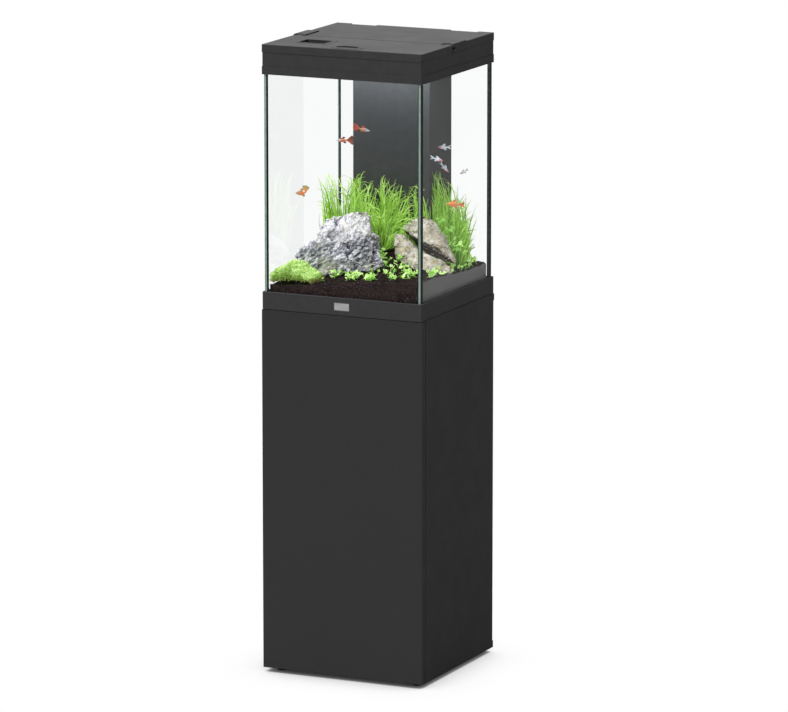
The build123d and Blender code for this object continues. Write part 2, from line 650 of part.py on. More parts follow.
pump_x = -62.0
pump_bottom = filter_bottom + filter_wall
chamber_floor = 910.0
pump_top = 930.0
impeller_bottom = chamber_floor + 1.0
with BuildPart() as pump_body:
    block((pump_x - 22, filter_middle_y - 30, pump_bottom), (pump_x + 22, filter_middle_y + 30, pump_top))
    fillet(pump_body.edges().filter_by(Axis.Z), 6.0)
    rod((pump_x, filter_middle_y, chamber_floor), pump_top - chamber_floor, 15.0, mode=Mode.SUBTRACT)
    rod((pump_x, filter_middle_y, chamber_floor), 18, 1.5)
write(pump_body, "pump_body")

with BuildPart() as impeller:
    rod((pump_x, filter_middle_y, impeller_bottom), 14, 5.0)
    with Locations((pump_x, filter_middle_y, impeller_bottom + 6)):
        with PolarLocations(8.0, 6):
            Box(9.0, 1.2, 12.0)
    rod((pump_x, filter_middle_y, impeller_bottom), 14, 1.5 + running_clearance, mode=Mode.SUBTRACT)
write(impeller, "impeller")

with BuildPart() as pump_outlet:
    block((pump_x - 22, filter_middle_y - 30, pump_top), (pump_x + 22, filter_middle_y + 30, pump_top + 3))
    fillet(pump_outlet.edges().filter_by(Axis.Z), 6.0)
    rod((pump_x, filter_middle_y, pump_top + 3), outlet_z - pump_top - 3 + outlet_radius, outlet_radius)
    rod((-filter_half - 14, filter_middle_y, outlet_z), pump_x + filter_half + 14, outlet_radius, "X")
    rod((pump_x, filter_middle_y, pump_top), outlet_z - pump_top, outlet_radius - 2, mode=Mode.SUBTRACT)
    rod((-filter_half - 14, filter_middle_y, outlet_z), pump_x + filter_half + 14, outlet_radius - 2, "X",
        mode=Mode.SUBTRACT)
write(pump_outlet, "pump_outlet")

heater_x = 65.0
heater_top = 1200.0
with BuildPart() as heater_tube:
    rod((heater_x, filter_middle_y, 880), heater_top - 880, 12.0)
    fillet(heater_tube.edges().sort_by(Axis.Z)[0], 8.0)
    rod((heater_x, filter_middle_y, heater_top), 30, 14.0)
    rod((heater_x, filter_middle_y, heater_top + 30), 8, 3.0)
write(heater_tube, "heater_tube")

with BuildPart() as heater_dial:
    rod((heater_x, filter_middle_y, heater_top + 30.4), 10, 9.0)
    rod((heater_x, filter_middle_y, heater_top + 30.4), 10, 3.0 + running_clearance, mode=Mode.SUBTRACT)
    with Locations((heater_x, filter_middle_y, heater_top + 35.4)):
        with PolarLocations(9.6, 12):
            Cylinder(1.2, 12, mode=Mode.SUBTRACT)
write(heater_dial, "heater_dial")

# ================================================================ rocks, soil, plants and fish
# Side outlines of the rocks as (X, Z) points; each rock tapers towards its front and back.
rock_left_outline = ((-180, 951), (-111, 1014), (-99, 1041), (-44, 1053), (-1, 1058), (16, 1031), (24, 989),
                     (36, 950), (28, 905), (-60, 898), (-150, 905))
rock_upper_outline = ((49, 1020), (90, 1042), (109, 1049), (146, 997), (178, 948), (160, 952), (96, 984))
rock_lower_outline = ((53, 1001), (92, 981), (158, 949), (180, 940), (168, 900), (70, 900), (45, 950))


def rock(outline, middle_y, half_depth, taper):
    """Add a rock: a side outline spread to front and back from the plane at middle_y."""
    with BuildSketch(Plane.XZ.offset(-middle_y)) as face:
        with BuildLine():
            Polyline(*outline, close=True)
        make_face()
    extrude(face.sketch, amount=half_depth, both=True, taper=taper)


with BuildPart() as rock_left:
    rock(rock_left_outline, -60, 36, 16)
write(rock_left, "rock_left")

with BuildPart() as rock_right:
    rock(rock_upper_outline, 20, 30, 8)
    rock(rock_lower_outline, 20, 32, 12)
write(rock_right, "rock_right")


def clump(centre, radii, bottom, top, taper):
    """Add a tuft of plants as a plain oval block, drawn in with height by its taper in degrees."""
    with BuildSketch(Plane.XY.offset(bottom)) as base:
        with Locations(centre):
            Ellipse(*radii)
    extrude(base.sketch, amount=top - bottom, taper=taper)


with BuildPart() as grass:
    clump((-84, 22), (55, 22), 950, 1118, 0)
    clump((12, 22), (22, 20), 950, 1098, 0)
    clump((142, 108), (36, 38), 915, 1118, 0)
write(grass, "grass")

with BuildPart() as leaf_plants:
    clump((2, -142), (74, 22), 905, 950, 8)
    clump((125, -75), (52, 48), 915, 962, 8)
write(leaf_plants, "leaf_plants")

with BuildPart() as moss_carpet:
    clump((-132, -143), (52, 40), 892, 948, 8)
write(moss_carpet, "moss_carpet")

# Soil height over the tank's floor: one row of heights for each depth, left to right.
soil_half = pane_inner - 0.5
soil_columns = (-soil_half, -95.0, 0.0, 95.0, soil_half)
soil_rows = {
    -soil_half: (899, 907, 918, 926, 932),
    -100.0: (905, 915, 925, 931, 931),
    -10.0: (925, 955, 970, 950, 923),
    90.0: (925, 945, 955, 936, 919),
    soil_half: (916, 926, 930, 928, 918),
}
soil_bottom = bottom_pane_top + bead + 0.2
soil_corner_cut = 3.0      # diagonal gap left beside the silicone in the tank's corners
with BuildPart() as substrate:
    for y, heights in soil_rows.items():
        with BuildSketch(Plane.XZ.offset(-y)):
            with BuildLine():
                surface = Spline(*zip(soil_columns, heights))
                Polyline(surface @ 1, (soil_half, soil_bottom), (-soil_half, soil_bottom), surface @ 0)
            make_face()
    loft()
    square_block(pane_inner - bead - 0.5, pane_inner - bead - 0.5, bottom_pane_top, soil_bottom)
    with BuildSketch(Plane.XY.offset(bottom_pane_top)):
        with GridLocations(2 * soil_half, 2 * soil_half, 2, 2):
            Rectangle(soil_corner_cut, soil_corner_cut, rotation=45)
    extrude(amount=120, mode=Mode.SUBTRACT)
    block((-filter_half - 0.5, filter_front - 0.5, bottom_pane_top), (filter_half + 0.5, pane_inner, 1000),
          mode=Mode.SUBTRACT)
    for piece in (rock_left, rock_right, grass, leaf_plants, moss_carpet):
        add(piece.part, mode=Mode.SUBTRACT)
write(substrate, "substrate")

# Every fish: middle of the body, body length and height, half height of the tail, which way along X
# its head points, and how far its nose dips in degrees.
fish_list = (
    ((-101, 20, 1206), 25, 8, 9, -1, 4),
    ((-36, 0, 1236), 24, 8, 10, 1, 10),
    ((-148, -100, 1099), 24, 8, 10, -1, 6),
    ((115, 100, 1193), 23, 7, 5, -1, 4),
    ((120, 62, 1171), 23, 7, 5, 1, 6),
    ((122, 100, 1144), 23, 7, 5, 1, 45),
    ((154, 120, 1134), 23, 7, 5, -1, 30),
    ((159, 60, 1072), 29, 11, 6, -1, 0),
)
fish_thickness = 5.0
with BuildPart() as fish:
    for middle, length, height, tail_half, heading, dip in fish_list:
        nose = (heading * cos(radians(dip)), 0, -sin(radians(dip)))
        with BuildSketch(Plane(origin=middle, x_dir=nose, z_dir=(0, -1, 0))):
            Ellipse(length / 2, height / 2)
            with BuildLine():
                Polyline((-length * 0.4, 0), (-length * 0.85, tail_half), (-length * 0.85, -tail_half),
                         close=True)
            make_face()
        extrude(amount=fish_thickness / 2, both=True)
write(fish, "fish")
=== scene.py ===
"""Looks of an aquarium on a cabinet stand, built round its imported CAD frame.

Metres, +Z up, front at -Y. The cabinet, tank, hood and equipment keep their CAD shapes and get
procedural materials. The soil, rocks, plants and fish are modelled here in mesh code.
"""
import math
import random

import bmesh
import bpy
from mathutils import Matrix, Vector, noise


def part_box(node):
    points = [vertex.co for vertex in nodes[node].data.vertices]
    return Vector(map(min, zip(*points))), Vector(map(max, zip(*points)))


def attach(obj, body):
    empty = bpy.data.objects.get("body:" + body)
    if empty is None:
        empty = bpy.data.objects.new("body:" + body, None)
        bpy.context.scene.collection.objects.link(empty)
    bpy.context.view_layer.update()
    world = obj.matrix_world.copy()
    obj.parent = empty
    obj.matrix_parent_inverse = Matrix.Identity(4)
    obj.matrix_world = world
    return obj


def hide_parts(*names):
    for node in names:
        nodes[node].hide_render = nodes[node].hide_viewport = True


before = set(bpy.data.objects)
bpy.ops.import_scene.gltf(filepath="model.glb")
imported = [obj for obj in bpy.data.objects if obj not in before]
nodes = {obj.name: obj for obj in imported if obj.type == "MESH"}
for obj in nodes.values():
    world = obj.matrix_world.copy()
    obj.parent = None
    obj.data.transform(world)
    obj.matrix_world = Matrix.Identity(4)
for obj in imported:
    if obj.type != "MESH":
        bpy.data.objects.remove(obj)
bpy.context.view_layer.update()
noise.seed_set(4)  # without a seed, Blender's noise differs from run to run

MM = 0.001
TAU = 2 * math.pi
UP = Vector((0, 0, 1))
scene = bpy.context.scene

# ---------------------------------------------------------------- places worked out from the frame
GLASS_GAP = 0.0015  # the least that rocks and plants keep from the glass, and plants from filter and soil
tank_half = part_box("right_glass")[0].x
soil_low, soil_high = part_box("substrate")
filter_low, filter_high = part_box("filter_box")
led_low, led_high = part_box("led_diffuser")


def islands(node):
    """The box of each separate solid in a CAD node, from the highest to the lowest."""
    mesh = nodes[node].data
    owner = {}

    def root(key):
        while owner[key] != key:
            owner[key] = owner[owner[key]]
            key = owner[key]
        return key

    keys = [tuple(round(c, 5) for c in vertex.co) for vertex in mesh.vertices]
    for key in keys:
        owner[key] = key
    for polygon in mesh.polygons:
        first = root(keys[polygon.vertices[0]])
        for index in polygon.vertices[1:]:
            owner[root(keys[index])] = first
    groups = {}
    for key in owner:
        groups.setdefault(root(key), []).append(key)
    boxes = [(Vector(map(min, *points)), Vector(map(max, *points))) for points in groups.values()]
    return sorted(boxes, key=lambda box: -box[0].z - box[1].z)


# ================================================================ materials
class Recipe:
    """A material or world being written in nodes. Textures use the object's own coordinates, in metres."""

    def __init__(self, name, world=False):
        self.made = (bpy.data.worlds if world else bpy.data.materials).new(name)
        self.made.use_nodes = True
        self.tree = self.made.node_tree
        self.tree.nodes.clear()
        self.output = self.tree.nodes.new("ShaderNodeOutputWorld" if world else "ShaderNodeOutputMaterial")
        coordinates = self.tree.nodes.new("ShaderNodeTexCoord").outputs
        self.place = coordinates["Object"]
        self.normal = coordinates["Normal"]
        self.direction = coordinates["Generated"]

    def node(self, kind, inputs=(), **settings):
        """Add a node; each input is a number, a colour or another node's output."""
        made = self.tree.nodes.new(kind)
        for key, value in settings.items():
            setattr(made, key, value)
        for key, value in dict(inputs).items():
            if isinstance(value, bpy.types.NodeSocket):
                self.tree.links.new(value, made.inputs[key])
            else:
                made.inputs[key].default_value = value
        return made

    def mapped(self, scale=(1, 1, 1), turn=(0, 0, 0)):
        """The object's coordinates, turned and then stretched for a pattern that runs one way."""
        turned = self.node("ShaderNodeMapping", {"Vector": self.place, "Rotation": turn}).outputs[0]
        return self.node("ShaderNodeMapping", {"Vector": turned, "Scale": scale}).outputs[0]

    def axis(self, vector, name):
        """One of the three parts of a vector: X, Y or Z."""
        return self.node("ShaderNodeSeparateXYZ", {0: vector}).outputs[name]

    def noise(self, per_metre, detail=4.0, rough=0.5, place=None, warp=0.0):
        inputs = {"Vector": place or self.place, "Scale": per_metre, "Detail": detail,
                  "Roughness": rough, "Distortion": warp}
        return self.node("ShaderNodeTexNoise", inputs).outputs[0]

    def cells(self, per_metre, feature="F1", place=None, output="Distance"):
        inputs = {"Vector": place or self.place, "Scale": per_metre}
        return self.node("ShaderNodeTexVoronoi", inputs, feature=feature).outputs[output]

    def ramp(self, value, *stops):
        """Grey levels or colours along a value; each stop is (position, level or colour)."""
        made = self.node("ShaderNodeValToRGB", {"Fac": value})
        elements = made.color_ramp.elements
        while len(elements) < len(stops):
            elements.new(1.0)
        for element, (position, level) in zip(elements, stops):
            element.position = position
            element.color = (level, level, level, 1) if isinstance(level, (int, float)) else (*level, 1)
        return made.outputs["Color"]

    def maths(self, operation, first, second=0.0):
        return self.node("ShaderNodeMath", {0: first, 1: second}, operation=operation).outputs[0]

    def mix(self, amount, first, second, blend="MIX"):
        """Mix two colours, each three numbers or an output."""
        colours = [c if isinstance(c, bpy.types.NodeSocket) else (*c, 1) for c in (first, second)]
        inputs = {0: amount, 6: colours[0], 7: colours[1]}
        return self.node("ShaderNodeMix", inputs, data_type="RGBA", blend_type=blend).outputs[2]

    def paint(self, channel):
        """One channel of the colour that mesh code painted on each vertex."""
        attribute = self.node("ShaderNodeAttribute", attribute_name="paint")
        return self.node("ShaderNodeSeparateColor", {0: attribute.outputs["Color"]}).outputs[channel]

    def bump(self, height, depth, under=None):
        """A normal that follows height, depth metres deep, over another normal if there is one."""
        inputs = {"Height": height, "Distance": depth, "Strength": 1.0}
        if under:
            inputs["Normal"] = under
        return self.node("ShaderNodeBump", inputs).outputs[0]

    def shader(self, colour, roughness, normal=None, **values):
        """A Principled shader; values are its other inputs, with _ for a space."""
        inputs = {"Base Color": colour if isinstance(colour, bpy.types.NodeSocket) else (*colour, 1),
                  "Roughness": roughness}
        if normal:
            inputs["Normal"] = normal
        inputs.update({key.replace("_", " "): value for key, value in values.items()})
        return self.node("ShaderNodeBsdfPrincipled", inputs).outputs[0]

    def blend(self, amount, first, second):
        """Mix two shaders; an amount of 1 gives all of the second."""
        return self.node("ShaderNodeMixShader", {0: amount, 1: first, 2: second}).outputs[0]

    def finish(self, shader):
        self.tree.links.new(shader, self.output.inputs["Surface"])
        return self.made


def moulded(name, colour, grain, depth, roughness, specular, edge_highlight_colour=None, top_sheen_colour=None):
    """A moulded plastic: fine spark-eroded grain, faint mottling and handling marks in its gloss.

    With an edge highlight colour and a top sheen colour, it has a painted highlight on its rounded upper
    edges and a painted sheen on its upward faces.
    """
    r = Recipe(name)
    smudge = r.noise(9, 5, 0.6)
    tone = r.ramp(r.noise(60, 3), (0.3, [c * 0.94 for c in colour]), (0.7, [c * 1.06 for c in colour]))
    if edge_highlight_colour:
        # Painted highlight on the rounded upper edges and painted sheen on the faces that look straight up,
        # both lighter colours standing in for reflected light.
        rise = r.axis(r.normal, "Z")
        rounded = r.ramp(rise, (0.2, 0.0), (0.35, 1.0), (0.85, 1.0), (0.97, 0.0))
        tone = r.mix(rounded, tone, edge_highlight_colour)
        painted_top_sheen = r.ramp(r.noise(30, 5, 0.6), (0.3, [c * 0.93 for c in top_sheen_colour]), (0.7, top_sheen_colour))
        tone = r.mix(r.maths("GREATER_THAN", rise, 0.97), tone, painted_top_sheen)
    sheen = r.ramp(smudge, (0.35, roughness - 0.04), (0.7, roughness + 0.06))
    surface = r.bump(r.noise(grain, 2), depth)
    return r.finish(r.shader(tone, sheen, surface, Specular_IOR_Level=specular))


def badge_plate():
    """A bright satin plate with fine brush lines across it and a slightly darker frame."""
    r = Recipe("satin_badge_plate")
    low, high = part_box("badge")
    middle = (low + high) / 2
    half = (high - low) / 2
    frame_width = 1.2 * MM
    lines = r.noise(1.0, 3, 0.6, r.mapped((25, 900, 900)))
    tone = r.ramp(lines, (0.3, (0.37, 0.37, 0.38)), (0.7, (0.5, 0.5, 0.51)))
    across = r.maths("ABSOLUTE", r.maths("SUBTRACT", r.axis(r.place, "X"), middle.x))
    upward = r.maths("ABSOLUTE", r.maths("SUBTRACT", r.axis(r.place, "Z"), middle.z))
    side = r.maths("GREATER_THAN", across, half.x - frame_width)
    cap = r.maths("GREATER_THAN", upward, half.z - frame_width)
    tone = r.mix(r.maths("MAXIMUM", side, cap), tone, (0.17, 0.17, 0.175))
    sheen = r.ramp(lines, (0.3, 0.3), (0.7, 0.42))
    return r.finish(r.shader(tone, sheen, r.bump(lines, 0.00003), Metallic=0.35))


def cabinet_board():
    """Melamine foil with a satin, finely pored print."""
    r = Recipe("melamine_foil")
    pores = r.noise(900, 3, 0.6, r.mapped((1, 1, 0.12)))
    cloud = r.noise(5, 4, 0.55)
    tone = r.mix(r.maths("MULTIPLY", cloud, 0.5), (0.0285, 0.0285, 0.029), (0.033, 0.033, 0.0335))
    tone = r.mix(r.ramp(pores, (0.52, 0.0), (0.72, 0.25)), tone, (0.016, 0.016, 0.016))
    sheen = r.ramp(r.noise(14, 5, 0.65), (0.3, 0.5), (0.72, 0.6))
    surface = r.bump(r.noise(2400, 2), 0.00004, r.bump(pores, 0.00006))
    return r.finish(r.shader(tone, sheen, surface, Specular_IOR_Level=0.12))


def brushed(name, colour, roughness, direction):
    """A metal with fine brush lines along one axis and fingerprints in its gloss."""
    r = Recipe(name)
    stretch = [900, 900, 900]
    stretch["XYZ".index(direction)] = 12
    lines = r.noise(1.0, 3, 0.6, r.mapped(stretch))
    tone = r.ramp(lines, (0.3, [c * 0.86 for c in colour]), (0.7, colour))
    marks = r.ramp(r.noise(70, 4), (0.35, roughness), (0.7, roughness + 0.12))
    return r.finish(r.shader(tone, marks, r.bump(lines, 0.00003), Metallic=1.0))


def dowel_wood():
    """Raw beech: pale, with short darker flecks along the dowel."""
    r = Recipe("raw_beech")
    rings = r.noise(1.0, 4, 0.6, r.mapped((260, 260, 20)))
    flecks = r.noise(1.0, 2, 0.5, r.mapped((1400, 1400, 150)))
    tone = r.ramp(rings, (0.3, (0.55, 0.38, 0.21)), (0.7, (0.72, 0.55, 0.35)))
    tone = r.mix(r.ramp(flecks, (0.6, 0.0), (0.68, 0.6)), tone, (0.33, 0.19, 0.09))
    return r.finish(r.shader(tone, 0.62, r.bump(rings, 0.0002)))


def float_glass(face, index, margin=0.0):
    """A clear pane whose large faces look along one axis; its cut edges are green-grey.

    Each face that the light meets from outside mirrors by Fresnel's law for a refractive index, and the
    rest passes straight on.
    A margin is the width in metres of the black glue line that shows behind its two upright edges.
    """
    r = Recipe("float_glass_" + face.lower())
    facing = r.axis(r.normal, face)
    flatness = r.maths("ABSOLUTE", facing)
    mirror_share = r.node("ShaderNodeFresnel", {"IOR": index}).outputs[0]
    backing = r.node("ShaderNodeNewGeometry").outputs["Backfacing"]
    share = r.maths("MULTIPLY", mirror_share, r.maths("SUBTRACT", 1.0, backing))
    smears = r.ramp(r.noise(8, 4, 0.6), (0.35, (0.997, 1.0, 0.999)), (0.75, (0.99, 0.996, 0.994)))
    clear = r.node("ShaderNodeBsdfTransparent", {"Color": smears}).outputs[0]
    mirror = r.node("ShaderNodeBsdfAnisotropic", {"Color": (1, 1, 1, 1), "Roughness": 0.0}).outputs[0]
    pane = r.blend(share, clear, mirror)
    if margin:
        margin_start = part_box("left_glass")[1].y - margin
        near_end = r.maths("GREATER_THAN", r.maths("ABSOLUTE", r.axis(r.place, "Y")), margin_start)
        outer = r.maths("GREATER_THAN", r.maths("MULTIPLY", facing, r.axis(r.place, "X")), 0.0)
        shade = r.ramp(r.noise(40, 3), (0.3, (0.004, 0.009, 0.008)), (0.7, (0.006, 0.014, 0.012)))
        glue = r.shader(shade, 0.3, Specular_IOR_Level=0.1)
        pane = r.blend(r.maths("MULTIPLY", near_end, outer), pane, glue)
    chips = r.noise(260, 4, 0.6)
    cut = r.ramp(chips, (0.3, (0.17, 0.235, 0.2)), (0.7, (0.27, 0.35, 0.3)))
    cut_gloss = r.ramp(chips, (0.3, 0.12), (0.7, 0.3))
    edge = r.shader(cut, cut_gloss, r.bump(chips, 0.0001), Specular_IOR_Level=0.5)
    arris = r.shader((0.012, 0.045, 0.035), 0.2)
    rim = r.blend(r.maths("GREATER_THAN", flatness, 0.2), edge, arris)
    return r.finish(r.blend(r.maths("GREATER_THAN", flatness, 0.9), rim, pane))


def silicone():
    """Dark sealant between the panes, smoothed by a finger and tinted by the glass's green."""
    r = Recipe("dark_silicone")
    strokes = r.noise(1.0, 3, 0.5, r.mapped((220, 220, 30)))
    tone = r.ramp(strokes, (0.3, (0.008, 0.026, 0.021)), (0.7, (0.014, 0.038, 0.031)))
    gloss = r.ramp(strokes, (0.3, 0.28), (0.7, 0.42))
    return r.finish(r.shader(tone, gloss, r.bump(strokes, 0.0004), Specular_IOR_Level=0.3))


def foamed(name, light, dark, cells_per_metre, depth):
    """An open-celled foam: rounded pores, darkened towards their bottoms with painted shade."""
    r = Recipe(name)
    pores = r.cells(cells_per_metre)
    # Painted shade: each pore darkens towards its middle, where the bump makes it deepest.
    tone = r.mix(r.ramp(pores, (0.15, 1.0), (0.55, 0.0)), light, dark)
    return r.finish(r.shader(tone, 0.95, r.bump(pores, depth), Specular_IOR_Level=0.1))


def circuit_board():
    """White solder mask over faint copper tracks."""
    r = Recipe("led_circuit_board")
    tracks = r.cells(130, "DISTANCE_TO_EDGE")
    tone = r.mix(r.ramp(tracks, (0.03, 1.0), (0.05, 0.0)), (0.78, 0.79, 0.78), (0.62, 0.66, 0.6))
    sheen = r.ramp(r.noise(500, 2), (0.3, 0.3), (0.7, 0.42))
    return r.finish(r.shader(tone, sheen, r.bump(tracks, 0.00004)))


def glowing(name, colour, strength, grain):
    """A lamp part: pale plastic with its own light, slightly uneven from grain to grain."""
    r = Recipe(name)
    speck = r.noise(grain, 2)
    tone = r.ramp(speck, (0.3, [c * 0.86 for c in colour]), (0.7, colour))
    return r.finish(r.shader(tone, 0.45, r.bump(speck, 0.00005), Emission_Color=tone,
                             Emission_Strength=strength))


def heater_glass():
    """Quartz tube with bands of a brown heating coil inside, under thin white limescale."""
    r = Recipe("heater_quartz")
    bands = r.noise(1.0, 2, 0.5, r.mapped((30, 30, 420)))
    tone = r.ramp(bands, (0.4, (0.09, 0.085, 0.08)), (0.6, (0.22, 0.2, 0.18)))
    scale = r.ramp(r.noise(120, 5, 0.7), (0.58, 0.0), (0.75, 0.55))
    tone = r.mix(scale, tone, (0.6, 0.6, 0.58))
    gloss = r.ramp(scale, (0.0, 0.08), (1.0, 0.5))
    return r.finish(r.shader(tone, gloss, Coat_Weight=0.6, Coat_Roughness=0.05))


def soil():
    """Baked planting soil: dark grains with the odd reddish or grey one, paler grey on its faces against the
    side panes.
    """
    r = Recipe("planting_soil")
    grain_colour = r.node("ShaderNodeSeparateColor", {0: r.cells(520, output="Color")}).outputs[0]
    tone = r.ramp(grain_colour, (0.0, (0.008, 0.006, 0.0055)), (0.6, (0.02, 0.0135, 0.0125)),
                  (0.86, (0.043, 0.026, 0.026)), (1.0, (0.085, 0.06, 0.06)))
    patch = r.ramp(r.noise(22, 4), (0.4, 0.0), (0.65, 0.6))
    tone = r.mix(patch, tone, (0.034, 0.021, 0.021))
    # Faces that look along X, against the side panes, are turned paler grey.
    sideways = r.maths("ABSOLUTE", r.axis(r.normal, "X"))
    side_face_grey = r.maths("MULTIPLY", r.maths("GREATER_THAN", sideways, 0.9), 0.7)
    tone = r.mix(side_face_grey, tone, (0.22, 0.216, 0.216))
    surface = r.bump(r.cells(520), 0.0009, r.bump(r.noise(1500, 2), 0.0003))
    return r.finish(r.shader(tone, 0.92, surface, Specular_IOR_Level=0.2))


def rock_grey():
    """Blue-grey layered stone: pale above a slanting line along its ridge, dark and streaked below it, with
    pale veins.
    """
    r = Recipe("layered_grey_stone")
    bend_x, bend_z = -0.118, 0.99
    left_slope, right_slope = 0.5, 0.15
    raggedness = 0.07
    fade_per_metre = 30
    # Pale stone above a slanting line through the ridge, darker streaked stone below it.
    beside = r.maths("ADD", r.axis(r.place, "X"), -bend_x)
    left = r.maths("MULTIPLY", beside, left_slope)
    right = r.maths("MULTIPLY", beside, right_slope)
    above_bend = r.maths("SUBTRACT", r.axis(r.place, "Z"), bend_z)
    above = r.maths("SUBTRACT", above_bend, r.maths("MINIMUM", right, left))
    wander = r.maths("MULTIPLY", r.maths("SUBTRACT", r.noise(34, 5, 0.6), 0.5), raggedness)
    fade = r.maths("MULTIPLY", r.maths("ADD", above, wander), fade_per_metre)
    pale_above_ridge = r.ramp(r.maths("ADD", fade, 0.5), (0.2, 0.0), (0.8, 1.0))
    streaks = r.noise(1.0, 6, 0.62, r.mapped((170, 90, 60), (0, math.radians(-55), 0)), 0.9)
    fine = r.noise(330, 5, 0.7)
    dark_side = r.ramp(streaks, (0.34, (0.04, 0.048, 0.06)), (0.43, (0.15, 0.16, 0.19)),
                       (0.51, (0.37, 0.37, 0.41)), (0.59, (0.78, 0.77, 0.8)))
    cracks = r.noise(1.0, 6, 0.65, r.mapped((110, 70, 45), (0, math.radians(18), 0)), 1.0)
    pale_top = r.ramp(cracks, (0.34, (0.14, 0.14, 0.17)), (0.42, (0.46, 0.45, 0.5)),
                      (0.49, (0.78, 0.76, 0.79)), (0.62, (0.9, 0.88, 0.9)))
    tone = r.mix(pale_above_ridge, dark_side, pale_top)
    tone = r.mix(r.ramp(r.noise(15, 3, 0.5), (0.52, 0.0), (0.64, 0.45)), tone, (0.55, 0.54, 0.4))
    tone = r.mix(r.ramp(fine, (0.34, 0.4), (0.46, 0.0)), tone, (0.1, 0.105, 0.12))
    seams = r.cells(42, "DISTANCE_TO_EDGE", r.mapped((1, 1, 1), (0.4, 0.7, 0.2)))
    veins = r.ramp(seams, (0.0, 0.6), (0.03, 0.0))
    kept = r.ramp(streaks, (0.45, 0.0), (0.6, 1.0))
    tone = r.mix(r.maths("MULTIPLY", veins, kept), tone, (0.75, 0.74, 0.78))
    surface = r.bump(streaks, 0.0022, r.bump(fine, 0.0009))
    return r.finish(r.shader(tone, 0.85, surface, Specular_IOR_Level=0.2))


def rock_tan():
    """Cream and grey stone with ochre lichen stains, dark pores, and a painted brown shade on its downward
    faces.
    """
    r = Recipe("speckled_tan_stone")
    broad = r.noise(60, 5, 0.65)
    tone = r.ramp(broad, (0.3, (0.26, 0.24, 0.2)), (0.45, (0.52, 0.48, 0.4)), (0.62, (0.82, 0.77, 0.68)))
    ochre = r.ramp(r.noise(52, 6, 0.72, r.mapped((1, 1, 2))), (0.5, 0.0), (0.64, 0.7))
    tone = r.mix(ochre, tone, (0.48, 0.39, 0.14))
    pores = r.ramp(r.noise(240, 4, 0.75), (0.36, 1.0), (0.44, 0.0))
    tone = r.mix(pores, tone, (0.12, 0.11, 0.075))
    # Painted shade: faces that look downward are darkened to a shaded brown.
    under = r.ramp(r.maths("ADD", r.axis(r.normal, "Z"), 0.5), (0.15, 1.0), (0.4, 0.0))
    tone = r.mix(under, tone, (0.07, 0.058, 0.048))
    surface = r.bump(broad, 0.0022, r.bump(r.noise(450, 5, 0.7), 0.0014))
    return r.finish(r.shader(tone, 0.88, surface, Specular_IOR_Level=0.15))


def leafy(name, shade, middle, light, shine, painted_glow_strength):
    """Leaf tissue that lets light through, with a painted glow in its own colour: painted red is the leaf's
    own tint, green how far out on the leaf, which leaves the base and middle darker as painted shade.
    """
    r = Recipe(name)
    # Green lightens the leaf towards its tip or rim; the darker base and middle are painted shade.
    tint = r.maths("ADD", r.maths("MULTIPLY", r.paint(0), 0.6), r.maths("MULTIPLY", r.paint(1), 0.4))
    mottle = r.maths("MULTIPLY", r.maths("SUBTRACT", r.noise(320, 3), 0.5), 0.4)
    tone = r.ramp(r.maths("ADD", tint, mottle), (0.05, shade), (0.42, middle), (0.85, light))
    surface = r.bump(r.noise(900, 3), 0.0002)
    # Painted glow: the emission stands for light shining through the leaf.
    body = r.shader(tone, r.ramp(r.noise(200, 2), (0.3, shine), (0.7, shine + 0.15)), surface,
                    Specular_IOR_Level=0.35, Emission_Color=tone, Emission_Strength=painted_glow_strength)
    through_light = r.node("ShaderNodeBsdfTranslucent", {"Color": tone}).outputs[0]
    return r.finish(r.blend(0.35, body, through_light))


def fish_skin():
    """Scales over the colours that the fish's mesh code paints."""
    r = Recipe("fish_skin")
    paint = r.node("ShaderNodeAttribute", attribute_name="paint").outputs["Color"]
    scales = r.cells(1500)
    tone = r.mix(r.ramp(scales, (0.3, 0.0), (0.8, 0.14)), paint, (0.9, 0.9, 0.88))
    return r.finish(r.shader(tone, r.ramp(scales, (0.2, 0.22), (0.8, 0.4)), r.bump(scales, 0.0001),
                             Coat_Weight=0.4, Coat_Roughness=0.15))


